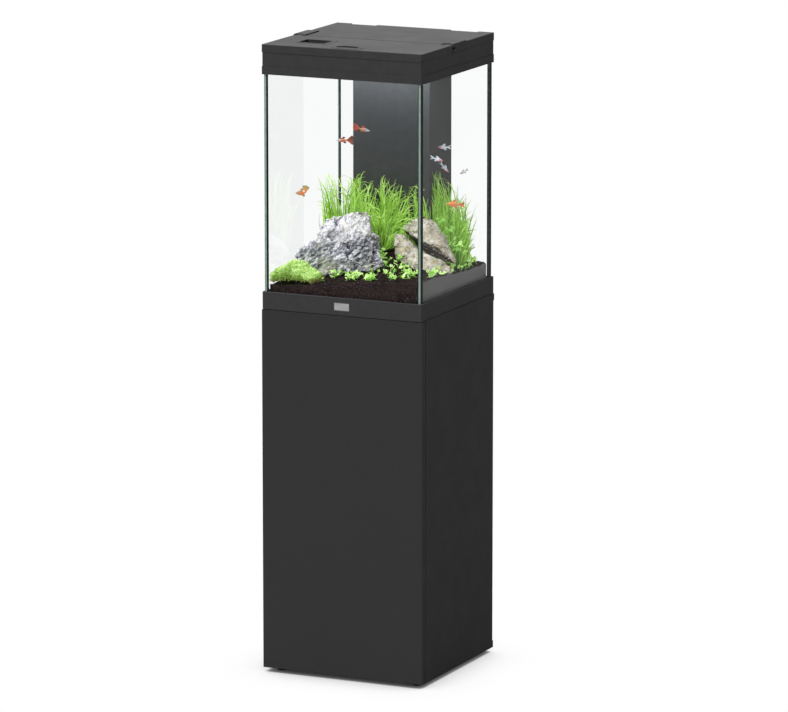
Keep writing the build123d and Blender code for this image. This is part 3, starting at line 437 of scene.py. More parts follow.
FINISHES = {
    "cabinet_board": cabinet_board(),
    "dowel_wood": dowel_wood(),
    "black_plastic": moulded("black_nylon", (0.018, 0.018, 0.019), 1600, 0.00005, 0.5, 0.3),
    # The hood gets a painted edge highlight and a painted sheen on its top faces.
    "hood_plastic": moulded("hood_abs", (0.038, 0.038, 0.0383), 2200, 0.00002, 0.42, 0.03,
                            edge_highlight_colour=(0.06, 0.064, 0.07), top_sheen_colour=(0.078, 0.078, 0.078)),
    "filter_plastic": moulded("filter_abs", (0.062, 0.063, 0.064), 1500, 0.00003, 0.45, 0.05),
    "steel": brushed("zinc_plated_steel", (0.62, 0.63, 0.65), 0.28, "Z"),
    "badge_metal": badge_plate(),
    "pane_glass": float_glass("Z", 1.3),
    "silicone": silicone(),
    "foam": foamed("closed_foam", (0.03, 0.03, 0.032), (0.008, 0.008, 0.008), 900, 0.0006),
    "led_aluminium": brushed("anodised_aluminium", (0.6, 0.61, 0.63), 0.33, "X"),
    "led_board": circuit_board(),
    "led_emitter": glowing("led_phosphor", (0.95, 0.86, 0.5), 6.0, 800),
    "led_diffuser": glowing("opal_diffuser", (0.93, 0.96, 1.0), 2.0, 300),
    "sponge": foamed("filter_sponge", (0.022, 0.026, 0.034), (0.004, 0.005, 0.007), 420, 0.0012),
    "pump_plastic": moulded("pump_housing", (0.03, 0.033, 0.04), 1300, 0.00007, 0.35, 0.5),
    "impeller_plastic": moulded("impeller_acetal", (0.66, 0.66, 0.64), 1100, 0.00005, 0.36, 0.5),
    "heater_glass": heater_glass(),
    "soil": soil(),
    "rock_grey": rock_grey(),
    "rock_tan": rock_tan(),
    # Leaves and moss glow a little in their own colour, as painted light.
    "grass_leaf": leafy("grass_leaf", (0.03, 0.1, 0.012), (0.33, 0.6, 0.07), (0.76, 0.95, 0.36), 0.35, 0.32),
    "round_leaf": leafy("round_leaf", (0.12, 0.3, 0.04), (0.42, 0.74, 0.15), (0.8, 0.96, 0.48), 0.3, 0.3),
    "moss": leafy("moss_frond", (0.17, 0.15, 0.05), (0.33, 0.56, 0.1), (0.8, 0.95, 0.48), 0.5, 0.32),
    "fish_skin": fish_skin(),
}
PANE_FINISHES = {
    "front_glass": float_glass("Y", 1.3),
    "back_glass": float_glass("Y", 1.4),
    "left_glass": float_glass("X", 1.4),
    "right_glass": float_glass("X", 1.12, 0.012),
}

for name, node in nodes.items():
    slot = node.material_slots[0]
    slot.material = PANE_FINISHES.get(name) or FINISHES[slot.material.name]


# ================================================================ mesh code shared by the modelled pieces
class Shape:
    """Points, faces and painted colours, gathered before they become a mesh."""

    def __init__(self):
        self.points = []
        self.faces = []
        self.paint = []

    def add(self, points, faces, paint):
        """Add points and their faces; paint is one colour, or one for each point."""
        first = len(self.points)
        self.points.extend(points)
        self.faces.extend(tuple(first + corner for corner in face) for face in faces)
        self.paint.extend(paint if isinstance(paint, list) else [paint] * len(points))

    def piece(self, name, slot, replaced=(), thickness=0.0, smooth=True):
        """The finished piece, riding on the cabinet, standing for the CAD nodes it replaces."""
        mesh = bpy.data.meshes.new(name)
        mesh.from_pydata(self.points, [], self.faces)
        paint = mesh.color_attributes.new("paint", "FLOAT_COLOR", "POINT")
        paint.data.foreach_set("color", [level for colour in self.paint for level in (*colour, 1.0)])
        return finish_piece(mesh, name, slot, replaced, thickness, smooth)


def finish_piece(mesh, name, slot, replaced=(), thickness=0.0, smooth=True):
    """Show a mesh as a piece of the aquarium."""
    mesh.polygons.foreach_set("use_smooth", [smooth] * len(mesh.polygons))
    mesh.materials.clear()
    mesh.materials.append(FINISHES[slot])
    piece = bpy.data.objects.new(name, mesh)
    scene.collection.objects.link(piece)
    if thickness:
        shell = piece.modifiers.new("thickness", "SOLIDIFY")
        shell.thickness = thickness
        shell.offset = 0.0
    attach(piece, "cabinet")
    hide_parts(*replaced)
    return piece


def grid_faces(rows, columns, closed=False):
    """Quads between rows of points; closed joins each row's last point to its first."""
    span = columns if closed else columns - 1
    return [(row * columns + col, row * columns + (col + 1) % columns,
             (row + 1) * columns + (col + 1) % columns, (row + 1) * columns + col)
            for row in range(rows - 1) for col in range(span)]


def circle(sides):
    """The cosine and sine of evenly spaced angles all the way round."""
    return [(math.cos(TAU * side / sides), math.sin(TAU * side / sides)) for side in range(sides)]


def within(value, low, high):
    """The value, or the limit that it has passed."""
    return max(low, min(value, high))


def smooth_step(value):
    """Ease from 0 to 1 as the value goes from 0 to 1."""
    value = within(value, 0.0, 1.0)
    return value * value * (3 - 2 * value)


def through(values, share):
    """A smooth curve through evenly spaced values, read at a share from 0 to 1."""
    spot = within(share, 0.0, 1.0) * (len(values) - 1)
    index = min(int(spot), len(values) - 2)
    u = spot - index
    before = values[max(index - 1, 0)]
    here = values[index]
    there = values[index + 1]
    after = values[min(index + 2, len(values) - 1)]
    bend = 2 * before - 5 * here + 4 * there - after + u * (3 * (here - there) + after - before)
    return here + 0.5 * u * (there - before + u * bend)


# ================================================================ soil
# Heights above the room's floor in millimetres, front row first, each row from left to right.
SOIL_HEIGHTS = (
    (899, 907, 918, 926, 932),
    (905, 915, 925, 931, 931),
    (925, 955, 970, 950, 923),
    (925, 945, 955, 936, 919),
    (916, 926, 930, 928, 918),
)
SOIL_STEP = 0.0025


def soil_height(x, y):
    """Height of the soil's surface, before its grains."""
    across = (x - soil_low.x) / (soil_high.x - soil_low.x)
    along = (y - soil_low.y) / (soil_high.y - soil_low.y)
    return through([through(row, across) for row in SOIL_HEIGHTS], along) * MM


def under_filter(x, y, gap):
    """True where a place is under the filter box, or less than a gap from it."""
    return filter_low.x - gap < x < filter_high.x + gap and y > filter_low.y - gap


def in_soil(x, y):
    """True where soil lies: not under the filter box or in the silicone of the corners."""
    corner = 2 * soil_high.x - 3 * SOIL_STEP
    return not under_filter(x, y, SOIL_STEP) and abs(x) + abs(y) < corner


def lump(x, y, layer, height, per_metre):
    """Height of one layer of random lumps at a place."""
    return height * noise.noise(Vector((x, y, layer)) * per_metre)


def build_soil():
    bm = bmesh.new()
    count = round((soil_high.x - soil_low.x) / SOIL_STEP)
    corners = {}
    for i in range(count + 1):
        for j in range(count + 1):
            x = soil_low.x + i * SOIL_STEP
            y = soil_low.y + j * SOIL_STEP
            lumps = lump(x, y, 0, 0.003, 55) + lump(x, y, 1, 0.0012, 330)
            corners[i, j] = bm.verts.new((x, y, soil_height(x, y) + lumps))
    for i in range(count):
        for j in range(count):
            if in_soil(soil_low.x + (i + 0.5) * SOIL_STEP, soil_low.y + (j + 0.5) * SOIL_STEP):
                square = ((i, j), (i + 1, j), (i + 1, j + 1), (i, j + 1))
                bm.faces.new([corners[corner] for corner in square])
    bmesh.ops.delete(bm, geom=[v for v in bm.verts if not v.link_faces], context="VERTS")
    lowered = bmesh.ops.extrude_face_region(bm, geom=bm.faces[:])["geom"]
    for vertex in lowered:
        if isinstance(vertex, bmesh.types.BMVert):
            vertex.co.z = soil_low.z
    bmesh.ops.recalc_face_normals(bm, faces=bm.faces[:])
    mesh = bpy.data.meshes.new("substrate_bed")
    bm.to_mesh(mesh)
    bm.free()
    finish_piece(mesh, "substrate_bed", "soil", ("substrate",), smooth=False)


def build_soil_grains(count=9000):
    """Loose grains on the surface, each a small knobbly eight-sided lump."""
    rng = random.Random(4)
    shape = Shape()
    knobs = [Vector(p) for p in ((1, 0, 0), (0, 1, 0), (-1, 0, 0), (0, -1, 0), (0, 0, 1), (0, 0, -1))]
    faces = [(a, (a + 1) % 4, 4) for a in range(4)] + [((a + 1) % 4, a, 5) for a in range(4)]
    reach = soil_high.x - 2 * SOIL_STEP
    while len(shape.points) < count * len(knobs):
        x = rng.uniform(-reach, reach)
        y = rng.uniform(-reach, reach)
        if not in_soil(x, y):
            continue
        size = rng.uniform(0.0007, 0.0017)
        centre = Vector((x, y, soil_height(x, y) + rng.uniform(-0.001, 0.0022)))
        turn = Matrix.Rotation(rng.uniform(0, TAU), 3, "Z") @ Matrix.Rotation(rng.uniform(0, 1), 3, "X")
        points = [centre + turn @ (knob * size * rng.uniform(0.75, 1.25)) for knob in knobs]
        shape.add(points, faces, (rng.random(), 0.5, 0))
    shape.piece("soil_grains", "soil")


# ================================================================ rocks
# Corners of the convex chunks that make up each rock, in millimetres.
LEFT_ROCK = (
    # main block: crest, ridge between the pale top and the steep front, foot, and back
    ((-117, -55, 1007), (-109, -50, 1036), (-97, -50, 1044), (-80, -48, 1047), (-40, -46, 1054),
     (-8, -46, 1061), (0, -46, 1045), (14, -48, 1012), (25, -58, 972), (-119, -84, 990), (-80, -90, 993),
     (-36, -90, 1003), (-9, -88, 1009), (24, -80, 994), (-128, -100, 934), (-92, -107, 914),
     (-53, -110, 922), (-17, -108, 928), (26, -100, 934), (-112, -30, 990), (-90, -26, 1022),
     (-20, -26, 1030), (8, -30, 990), (-110, -24, 915), (10, -26, 915)),
    # low spur running out to the left
    ((-180, -60, 950), (-170, -58, 962), (-130, -56, 988), (-112, -54, 1004), (-158, -84, 967),
     (-117, -88, 990), (-168, -90, 940), (-134, -103, 930), (-100, -104, 918), (-165, -50, 930),
     (-115, -30, 960), (-110, -30, 915), (-165, -60, 915)),
    # toe on the right
    ((12, -52, 1000), (26, -74, 994), (42, -74, 958), (54, -88, 948), (30, -98, 934), (0, -100, 926),
     (5, -50, 930), (36, -60, 930)),
)
UPPER_RIGHT_ROCK = (
    # leaning slab: lower front edge, top edge, recessed underside, and back
    ((59, -2, 1017), (93, -4, 1000), (135, -5, 991), (155, -3, 989), (172, -2, 968), (189, 5, 945),
     (62, 2, 1025), (77, 8, 1037), (105, 18, 1051), (118, 24, 1043), (131, 26, 1030), (143, 26, 1010),
     (165, 24, 982), (183, 14, 950), (70, 12, 1006), (96, 20, 974), (115, 20, 960), (150, 18, 952),
     (174, 14, 945), (78, 42, 1010), (112, 46, 1032), (150, 46, 986), (174, 40, 946), (90, 44, 960)),
)
LOWER_RIGHT_ROCK = (
    # pale hump on the left
    ((46, -6, 1003), (55, -3, 1009), (72, -8, 1005), (94, -14, 982), (52, -26, 984), (88, -40, 964),
     (102, -28, 958), (60, 30, 985), (96, 30, 962), (60, -36, 925), (100, -46, 918), (62, 34, 905),
     (100, 32, 905), (48, -12, 955)),
    # long low slab under the cleft
    ((88, -16, 982), (112, -18, 968), (154, -20, 961), (186, -14, 938), (91, -44, 958), (112, -50, 953),
     (137, -57, 940), (164, -52, 929), (184, -30, 928), (90, 26, 958), (172, 32, 926), (100, -54, 915),
     (150, -46, 908), (186, -20, 915), (165, 32, 905), (95, 34, 905)),
)


def fused(chunks, voxel):
    """One closed mesh from overlapping convex chunks."""
    bm = bmesh.new()
    for corners in chunks:
        added = [bm.verts.new(Vector(corner) * MM) for corner in corners]
        hull = bmesh.ops.convex_hull(bm, input=added)
        left_over = set(hull["geom_interior"] + hull["geom_unused"])
        inside = [part for part in left_over if isinstance(part, bmesh.types.BMVert)]
        bmesh.ops.delete(bm, geom=inside, context="VERTS")
    mesh = bpy.data.meshes.new("chunks")
    bm.to_mesh(mesh)
    bm.free()
    block = bpy.data.objects.new("chunks", mesh)
    scene.collection.objects.link(block)
    remesh = block.modifiers.new("fuse", "REMESH")
    remesh.mode = "VOXEL"
    remesh.voxel_size = voxel
    made = bpy.data.meshes.new_from_object(block.evaluated_get(bpy.context.evaluated_depsgraph_get()))
    bpy.data.objects.remove(block)
    return made


def facets(point, per_metre):
    """Height of broken stone at a point: each cell of a random pattern is a flat face with its own tilt."""
    spot = point * per_metre
    cell = noise.voronoi(spot)[1][0]
    tilt = noise.noise_vector(cell * 7.3 + Vector((0.5, 0.2, 0.8)))
    return (spot - cell).dot(tilt) * 2


def broken_face(point):
    """Height of the large broken faces of a rock."""
    return 1.2 * facets(point, 25) + 0.8 * noise.noise(point * 19)


def worn_surface(point):
    """Height of the chips, slanting layers and pits on a rock's broken faces."""
    tilted = Matrix.Rotation(math.radians(42), 3, "Y") @ point
    stretched = Vector((tilted.x * 120, tilted.y * 70, tilted.z * 30))
    layers = noise.ridged_multi_fractal(stretched, 1, 2.1, 4, 1, 2)
    chips = 0.6 * facets(point, 62) + 0.2 * facets(point, 150)
    return chips + 0.15 * (layers - 1.1) + 0.12 * noise.noise(point * 300)


VOXEL = 0.0012  # of the grid in which a rock's chunks are fused
DEEPEST, HIGHEST = -1.6, 0.8  # limits of a rock's relief, before it is scaled


def build_rock(name, chunks, slot, replaced, seed, relief):
    """Fuse the chunks, then push the surface along its normals, by relief metres for a height of 1."""
    mesh = fused(chunks, VOXEL)
    shift = Vector((seed, seed * 0.7, seed * 1.3))
    limit = tank_half - GLASS_GAP
    for height in (broken_face, worn_surface):
        outward = [vertex.normal.copy() for vertex in mesh.vertices]
        for vertex, normal in zip(mesh.vertices, outward):
            vertex.co += normal * (within(height(vertex.co + shift), DEEPEST, HIGHEST) * relief)
            vertex.co.x = within(vertex.co.x, -limit, limit)
        mesh.update()
    finish_piece(mesh, name, slot, replaced)


# ================================================================ plants
PLANT_REACH = tank_half - 2 * GLASS_GAP


def held_inside(point, previous):
    """Keep a growing tip inside the glass, above the soil and out of the filter box."""
    x = within(point.x, -PLANT_REACH, PLANT_REACH)
    y = within(point.y, -PLANT_REACH, PLANT_REACH)
    if under_filter(x, y, GLASS_GAP):
        if previous.y <= filter_low.y - GLASS_GAP:
            y = filter_low.y - GLASS_GAP
        else:
            x = math.copysign(filter_high.x + GLASS_GAP, previous.x)
    return Vector((x, y, max(point.z, soil_height(x, y) + GLASS_GAP)))


def add_blade(shape, base, bend, tip, width, roll, tint, joints=8):
    """A grass blade: a folded ribbon along a curve from its base past a bend to its pointed tip."""
    points = []
    paint = []
    before = base
    for joint in range(joints + 1):
        share = joint / joints
        spot = base * (1 - share) ** 2 + bend * (2 * share * (1 - share)) + tip * share ** 2
        spot = held_inside(spot, before)
        along = (bend - base) * (1 - share) + (tip - bend) * share
        side = along.cross(Vector((math.sin(roll), math.cos(roll), 0.1))).normalized()
        half = 0.5 * width * min(1.0, 0.55 + 1.3 * share) * (1 - share ** 2.6) + 0.0001
        fold = side.cross(along).normalized() * (0.3 * half)
        points += [spot + side * half + fold, spot, spot - side * half + fold]
        paint += [(tint, share, 0)] * 3
        before = spot
    shape.add(points, grid_faces(joints + 1, 3), paint)


# Tufts of grass in millimetres: the root's middle and radii, how far the tips spread in depth, the number
# of plants, the palest tint of a blade, and the outline that the longest tips reach as (X, Z) points from
# left to right.
TUFTS = {
    "grass_left": (
        ((-84, 14, 50, 18), 26, 32, 0.9,
         ((-158, 1056), (-152, 1086), (-143, 1112), (-131, 1130), (-112, 1114), (-92, 1128), (-78, 1112),
          (-68, 1132), (-54, 1124), (-40, 1106), (-28, 1112), (-14, 1090), (-4, 1060))),
    ),
    "grass_middle": (
        ((11, 8, 12, 14), 28, 28, 0.9,
         ((-58, 1024), (-48, 1052), (-34, 1084), (-14, 1106), (3, 1130), (12, 1121), (26, 1098), (44, 1102),
          (62, 1092), (78, 1082), (92, 1054), (84, 1022))),
        ((14, 2, 14, 10), 16, 16, 0.95,
         ((-38, 1010), (-26, 1000), (-4, 1030), (16, 1050), (40, 1030), (58, 1004))),
    ),
    "grass_behind_rock": (
        ((74, 46, 26, 12), 16, 12, 0.85,
         ((38, 1066), (52, 1092), (66, 1084), (76, 1110), (90, 1100), (104, 1078))),
    ),
    "grass_right": (
        ((142, 102, 22, 22), 34, 32, 0.6,
         ((72, 1104), (82, 1139), (99, 1112), (117, 1108), (130, 1108), (147, 1090), (169, 1080),
          (182, 1056), (188, 1030), (188, 1002), (188, 972))),
        ((116, 92, 20, 14), 22, 18, 0.75,
         ((74, 1052), (84, 1092), (104, 1086), (122, 1082), (140, 1062), (156, 1036), (172, 1000))),
    ),
}
BLADES_PER_PLANT = 12
BLADE_WIDTHS = (0.0016, 0.004)
LONG_BLADES = 0.2  # share of the blades that reach the outline
ROOT_SPREAD = 0.003
ROOT_DEPTH = 0.004
BEND_SPREAD = 0.017
TIP_SPREAD = 0.01


def build_tuft(name, groups, seed, replaced=()):
    """A tuft of small plants from a patch of soil; their blades end along an outline, or short of it."""
    rng = random.Random(seed)
    shape = Shape()
    for (x, y, reach_x, reach_y), depth, plants, palest, outline in groups:
        for _ in range(plants):
            aim = rng.random()
            lean = within((aim - 0.5) * 1.5 + rng.gauss(0, 0.4), -1.0, 1.0)
            root = Vector((x + reach_x * lean, y + reach_y * rng.uniform(-1, 1), 0)) * MM
            size = rng.uniform(0.55, 1.0)
            for _ in range(BLADES_PER_PLANT):
                spot = within(aim + rng.gauss(0, 0.12), 0.0, 1.0)
                end_x = through([point[0] for point in outline], spot) + rng.gauss(0, 6)
                end_z = through([point[1] for point in outline], spot) + rng.gauss(0, 4)
                base = root + Vector((rng.gauss(0, ROOT_SPREAD), rng.gauss(0, ROOT_SPREAD), 0))
                base.z = soil_height(base.x, base.y) - ROOT_DEPTH
                tip = Vector((end_x, y + depth * rng.uniform(-1, 1), end_z)) * MM
                if rng.random() < 1 - LONG_BLADES:
                    tip = base.lerp(tip, size * rng.uniform(0.55, 1.0))
                rise = tip - base
                arch = 0.25 * abs(rise.x)
                crown = base.z + max(rise.z, 0.3 * abs(rise.x)) * rng.uniform(0.6, 1.1) + arch
                bend = Vector((base.x + rise.x * rng.uniform(0.0, 0.4), base.y + rise.y * 0.3, crown))
                bend.x += rng.gauss(0, BEND_SPREAD)
                tip.x += rng.gauss(0, TIP_SPREAD)
                tint = palest * rng.random()
                add_blade(shape, base, bend, tip, rng.uniform(*BLADE_WIDTHS), rng.gauss(0, 0.9), tint)
    shape.piece(name, "grass_leaf", replaced, thickness=0.00025)


def add_leaf(shape, centre, facing, radius, tint, lobes=5, sides=15):
    """A round leaf, cupped and scalloped, turned to face a direction."""
    turn = UP.rotation_difference(facing).to_matrix()
    points = [centre - facing * (0.18 * radius)]
    paint = [(tint * 0.8, 0.2, 0)]
    for ring, rise in ((0.55, -0.1), (1.0, 0.12)):
        for side in range(sides):
            angle = TAU * side / sides
            out = ring * radius * (1 + 0.3 * ring * math.cos(lobes * angle))
            place = Vector((out * math.cos(angle), out * math.sin(angle), rise * radius))
            points.append(centre + turn @ place)
            paint.append((tint, 0.45 + 0.55 * ring, 0))
    fan = [(0, 1 + side, 1 + (side + 1) % sides) for side in range(sides)]
    rim = [(1 + a, 1 + sides + a, 1 + sides + (a + 1) % sides, 1 + (a + 1) % sides) for a in range(sides)]
    shape.add(points, fan + rim, paint)


def add_stem(shape, points, radius, tint):
    """A thin round stem along a few points."""
    sides = 5
    rings = []
    for index, point in enumerate(points):
        after = points[min(index + 1, len(points) - 1)]
        before = points[max(index - 1, 0)]
        turn = (after - before).to_track_quat("Z", "X").to_matrix()
        rings += [point + turn @ Vector((radius * c, radius * s, 0)) for c, s in circle(sides)]
    shape.add(rings, grid_faces(len(points), sides, closed=True), (tint, 0.3, 0))


LEAF_RADII = (0.0024, 0.0056)
STALK_LENGTHS = (0.003, 0.0105)
STALK_RADIUS = 0.0004
STEM_RADIUS = 0.0005


def add_sprig(shape, rng, x, y, z_lift, leaves, run):
    """A creeping sprig: a low stem that wanders over the soil with small leaves on short stalks."""
    heading = rng.uniform(0, TAU)
    spot = Vector((x, y, soil_height(x, y) + z_lift))
    stem = [spot - UP * (z_lift + ROOT_DEPTH), spot]
    for _ in range(leaves):
        heading += rng.gauss(0, 0.9)
        step = Vector((math.cos(heading), math.sin(heading), 0)) * (run / leaves)
        spot = held_inside(spot + step + UP * rng.uniform(-0.001, 0.003), spot)
        stem.append(spot)
        for _ in range(rng.choice((1, 1, 2))):
            turn = heading + rng.uniform(0, TAU)
            out = Vector((math.cos(turn), math.sin(turn), rng.uniform(0.1, 1.8)))
            tip = held_inside(spot + out * rng.uniform(*STALK_LENGTHS), spot)
            add_stem(shape, [spot, tip], STALK_RADIUS, 0.4)
            facing = Vector((rng.gauss(0, 0.8), rng.gauss(-0.6, 0.8), 1)).normalized()
            radius = rng.uniform(*LEAF_RADII)
            add_leaf(shape, tip + UP * 0.0006, facing, radius, rng.random(), rng.choice((3, 4, 5)))
    add_stem(shape, stem, STEM_RADIUS, 0.35)


# Where the creeping sprigs root, in millimetres: (x, y, height above the soil, leaves, run of the stem).
FRONT_SPRIGS = (
    (-108, -112, 1, 2, 14), (-65, -112, 1, 3, 24), (-52, -128, 1, 5, 30), (-62, -152, 1, 2, 16),
    (-10, -160, 1, 5, 30), (-22, -128, 1, 3, 22), (20, -164, 2, 6, 34), (30, -148, 2, 6, 34),
    (44, -166, 2, 5, 26), (10, -134, 1, 4, 24), (62, -170, 1, 2, 16), (68, -150, 1, 3, 24),
    (84, -130, 1, 4, 34), (56, -96, 1, 4, 34), (104, -120, 1, 3, 22), (94, -92, 1, 3, 24),
    (24, -48, 1, 3, 18), (46, -60, 1, 3, 18), (68, -66, 1, 3, 20), (44, -40, 2, 5, 30),
    (62, -50, 2, 6, 32), (80, -62, 1, 4, 28), (116, -86, 1, 4, 28), (136, -96, 1, 3, 22),
    (30, -92, 1, 3, 26), (122, -136, 1, 3, 24), (150, -120, 1, 2, 20), (100, -160, 1, 2, 16),
)
RIGHT_SPRIGS = (
    (176, -124, 2, 6, 24), (180, -98, 2, 6, 24), (176, -78, 1, 4, 20), (178, -52, 1, 3, 20),
    (182, -8, 1, 4, 24), (180, 24, 2, 5, 24), (182, 52, 3, 5, 24), (180, 84, 3, 5, 24),
    (182, 116, 4, 5, 24), (178, 148, 3, 4, 18), (142, 130, 1, 3, 14), (118, 62, 84, 4, 18),
    (142, 62, 74, 5, 20), (132, 64, 60, 4, 18), (152, 62, 48, 7, 24), (176, 68, 46, 5, 20),
    (164, 62, 36, 7, 24), (186, 66, 34, 4, 16),
)


def build_creepers(name, sprigs, seed, replaced=()):
    rng = random.Random(seed)
    shape = Shape()
    for x, y, lift, leaves, run in sprigs:
        add_sprig(shape, rng, x * MM, y * MM, lift * MM, leaves, run * MM)
    shape.piece(name, "round_leaf", replaced, thickness=0.0002)


LEAST_MOSS = 0.008
FROND_LENGTHS = (0.0016, 0.0042)  # half of a frond's length


def moss_height(x, y, low, high):
    """Height of the moss cushion at a place, or None outside it. It runs on to the glass at its corner."""
    middle = (low + high) / 2
    half = (high - low) / 2
    full_share, edge_share = -0.3, 1.05  # of the half size: where it starts to thin, and where it ends
    fade = edge_share - full_share
    across = max(x - middle.x - half.x * full_share, 0) / (half.x * fade)
    along = max(y - middle.y - half.y * full_share, 0) / (half.y * fade)
    away = (across ** 3 + along ** 3) ** (1 / 3) / (1 + lump(x, y, 3, 0.22, 40))
    if away >= 1:
        return None
    ground = soil_height(x, y)
    right_slope, left_slope, front_slope = 0.26, 0.6, 0.1
    drop = right_slope * max(x - middle.x + 0.012, 0) + left_slope * max(middle.x - x - 0.008, 0)
    drop += front_slope * (middle.y - y)
    crown = high.z + 0.002 - drop
    lumps = lump(x, y, 7, 0.006, 90) + lump(x, y, 9, 0.0035, 230)
    return ground + max(crown - ground, LEAST_MOSS) * (1 - away ** 2.6) + lumps


def build_moss(count=5200):
    """A low cushion of moss: small overlapping fronds, pale at their tips and brown near the soil, and
    darker with painted shade where they lie deeper in the cushion.
    """
    rng = random.Random(11)
    low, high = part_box("moss_carpet")
    shape = Shape()
    made = 0
    while made < count:
        x = rng.uniform(-PLANT_REACH, high.x + 0.014)
        y = rng.uniform(-PLANT_REACH, high.y + 0.008)
        top = moss_height(x, y, low, high)
        if top is None:
            continue
        made += 1
        ground = soil_height(x, y)
        depth = rng.random() ** 2
        z = max(top - depth * (top - ground) * 0.8, ground + 0.001)
        # Brown near the soil is the moss's own colour; the darkening of fronds that lie deeper below the
        # cushion's top is painted shade.
        age_and_depth_shade = smooth_step((z - ground) / 0.011) * (0.25 + 0.75 * (1 - depth)) * rng.uniform(0.4, 1.1)
        for _ in range(3):
            facing = Vector((rng.gauss(0, 1.1), rng.gauss(-0.6, 1.1), 1)).normalized()
            turn = UP.rotation_difference(facing).to_matrix() @ Matrix.Rotation(rng.uniform(0, TAU), 3, "Z")
            long = rng.uniform(*FROND_LENGTHS)
            wide = 0.55 * long
            outline = ((0, -long, 0), (wide, 0, 0.0005), (0, long, 0), (-wide, 0, 0.0005))
            lift = rng.uniform(0, 0.003) + abs(rng.gauss(0, 0.0022))
            spot = Vector((x + rng.gauss(0, 0.0016), y + rng.gauss(0, 0.0016), z + lift))
            spot.x = within(spot.x, -PLANT_REACH, PLANT_REACH)
            spot.y = within(spot.y, -PLANT_REACH, PLANT_REACH)
            shape.add([spot + turn @ Vector(p) for p in outline], [(0, 1, 2, 3)], (age_and_depth_shade, age_and_depth_shade, 0))
    shape.piece("moss_tips", "moss", ("moss_carpet",), thickness=0.0002)


# ================================================================ fish
BODY_STATIONS = 13
BODY_SIDES = 14
# Shares of the body's full height and width, evenly spaced from the nose to the root of the tail.
HEIGHT_PROFILE = (0.05, 0.42, 0.7, 0.9, 1.0, 0.98, 0.84, 0.62, 0.46, 0.4)
WIDTH_PROFILE = (0.05, 0.5, 0.8, 0.98, 1.0, 0.9, 0.7, 0.45, 0.26, 0.14)
# Colours of the head, rear, back, fins and the fins' edges. Then the body's depth as a share of the fish's
# length, the dorsal fin's height as a share of that depth, half the tail's spread as a share of the length,
# and how far the middle of the tail is drawn in, as a share of the tail.
SPECIES = {
    "guppy": (
        ((0.35, 0.45, 0.55), (0.7, 0.3, 0.1), (0.1, 0.17, 0.2), (0.62, 0.07, 0.01), (0.4, 0.03, 0.008)),
        (0.27, 0.6, 0.34, 0.0)),
    "dark_guppy": (
        ((0.5, 0.62, 0.7), (0.65, 0.16, 0.02), (0.05, 0.07, 0.09), (0.45, 0.07, 0.015),
         (0.03, 0.015, 0.012)),
        (0.27, 0.55, 0.36, 0.0)),
    "orange_guppy": (
        ((0.22, 0.3, 0.16), (0.85, 0.2, 0.03), (0.12, 0.22, 0.1), (0.8, 0.28, 0.05), (0.2, 0.3, 0.08)),
        (0.36, 0.6, 0.34, 0.0)),
    "tetra": (
        ((0.85, 0.12, 0.16), (0.74, 0.77, 0.83), (0.4, 0.46, 0.55), (0.66, 0.68, 0.74), (0.5, 0.53, 0.6)),
        (0.3, 0.55, 0.22, 0.55)),
    "platy": (
        ((0.9, 0.25, 0.04), (0.88, 0.28, 0.07), (0.8, 0.3, 0.08), (0.8, 0.24, 0.06), (0.6, 0.2, 0.07)),
        (0.34, 0.45, 0.2, 0.1)),
}


def shade(first, second, share):
    return tuple(a + (b - a) * share for a, b in zip(first, second))


def add_fin(shape, root, tip, rays, colour, edge_colour, lace, fork=0.0):
    """A fin as a closed thin web between a root line and a wavy tip line, each given by its two ends.

    A fork draws the middle of the tip line in, as a share of the fin's length.
    """
    steps = 5
    for side in (-1, 1):
        grid = []
        paint = []
        for ray in range(rays):
            share = ray / (rays - 1)
            start = root[0].lerp(root[1], share)
            end = tip[0].lerp(tip[1], share)
            middling = 1 - abs(2 * share - 1)
            length = 1 - fork * middling + (0.3 * math.sqrt(middling) if not fork else 0.0)
            for step in range(steps):
                along = step / (steps - 1)
                wave = lace * math.sin(5 * share + 3 * along) * along
                thick = side * 0.00022 * (1 - 0.8 * along)
                grid.append(start.lerp(end, along * length) + Vector((0, wave + thick, 0)))
                paint.append(shade(colour, edge_colour, smooth_step((along - 0.45) * 1.9)))
        faces = grid_faces(rays, steps)
        shape.add(grid, faces if side > 0 else [tuple(reversed(face)) for face in faces], paint)


def add_eye(shape, centre, side, radius):
    """A slightly domed eye: a pale ring round a dark pupil."""
    sides = 10
    points = [centre + Vector((0, side * radius * 0.7, 0))]
    paint = [(0.005, 0.005, 0.006)]
    for ring, bulge, colour in ((0.55, 0.6, (0.005, 0.005, 0.006)), (0.7, 0.5, (0.8, 0.8, 0.78)),
                                (1.0, 0.0, (0.6, 0.6, 0.58))):
        points += [centre + Vector((ring * c, side * bulge, ring * s)) * radius for c, s in circle(sides)]
        paint += [colour] * sides
    fan = [(0, 1 + step, 1 + (step + 1) % sides) for step in range(sides)]
    rim = [tuple(1 + corner for corner in face) for face in grid_faces(3, sides, closed=True)]
    shape.add(points, fan + rim, paint)


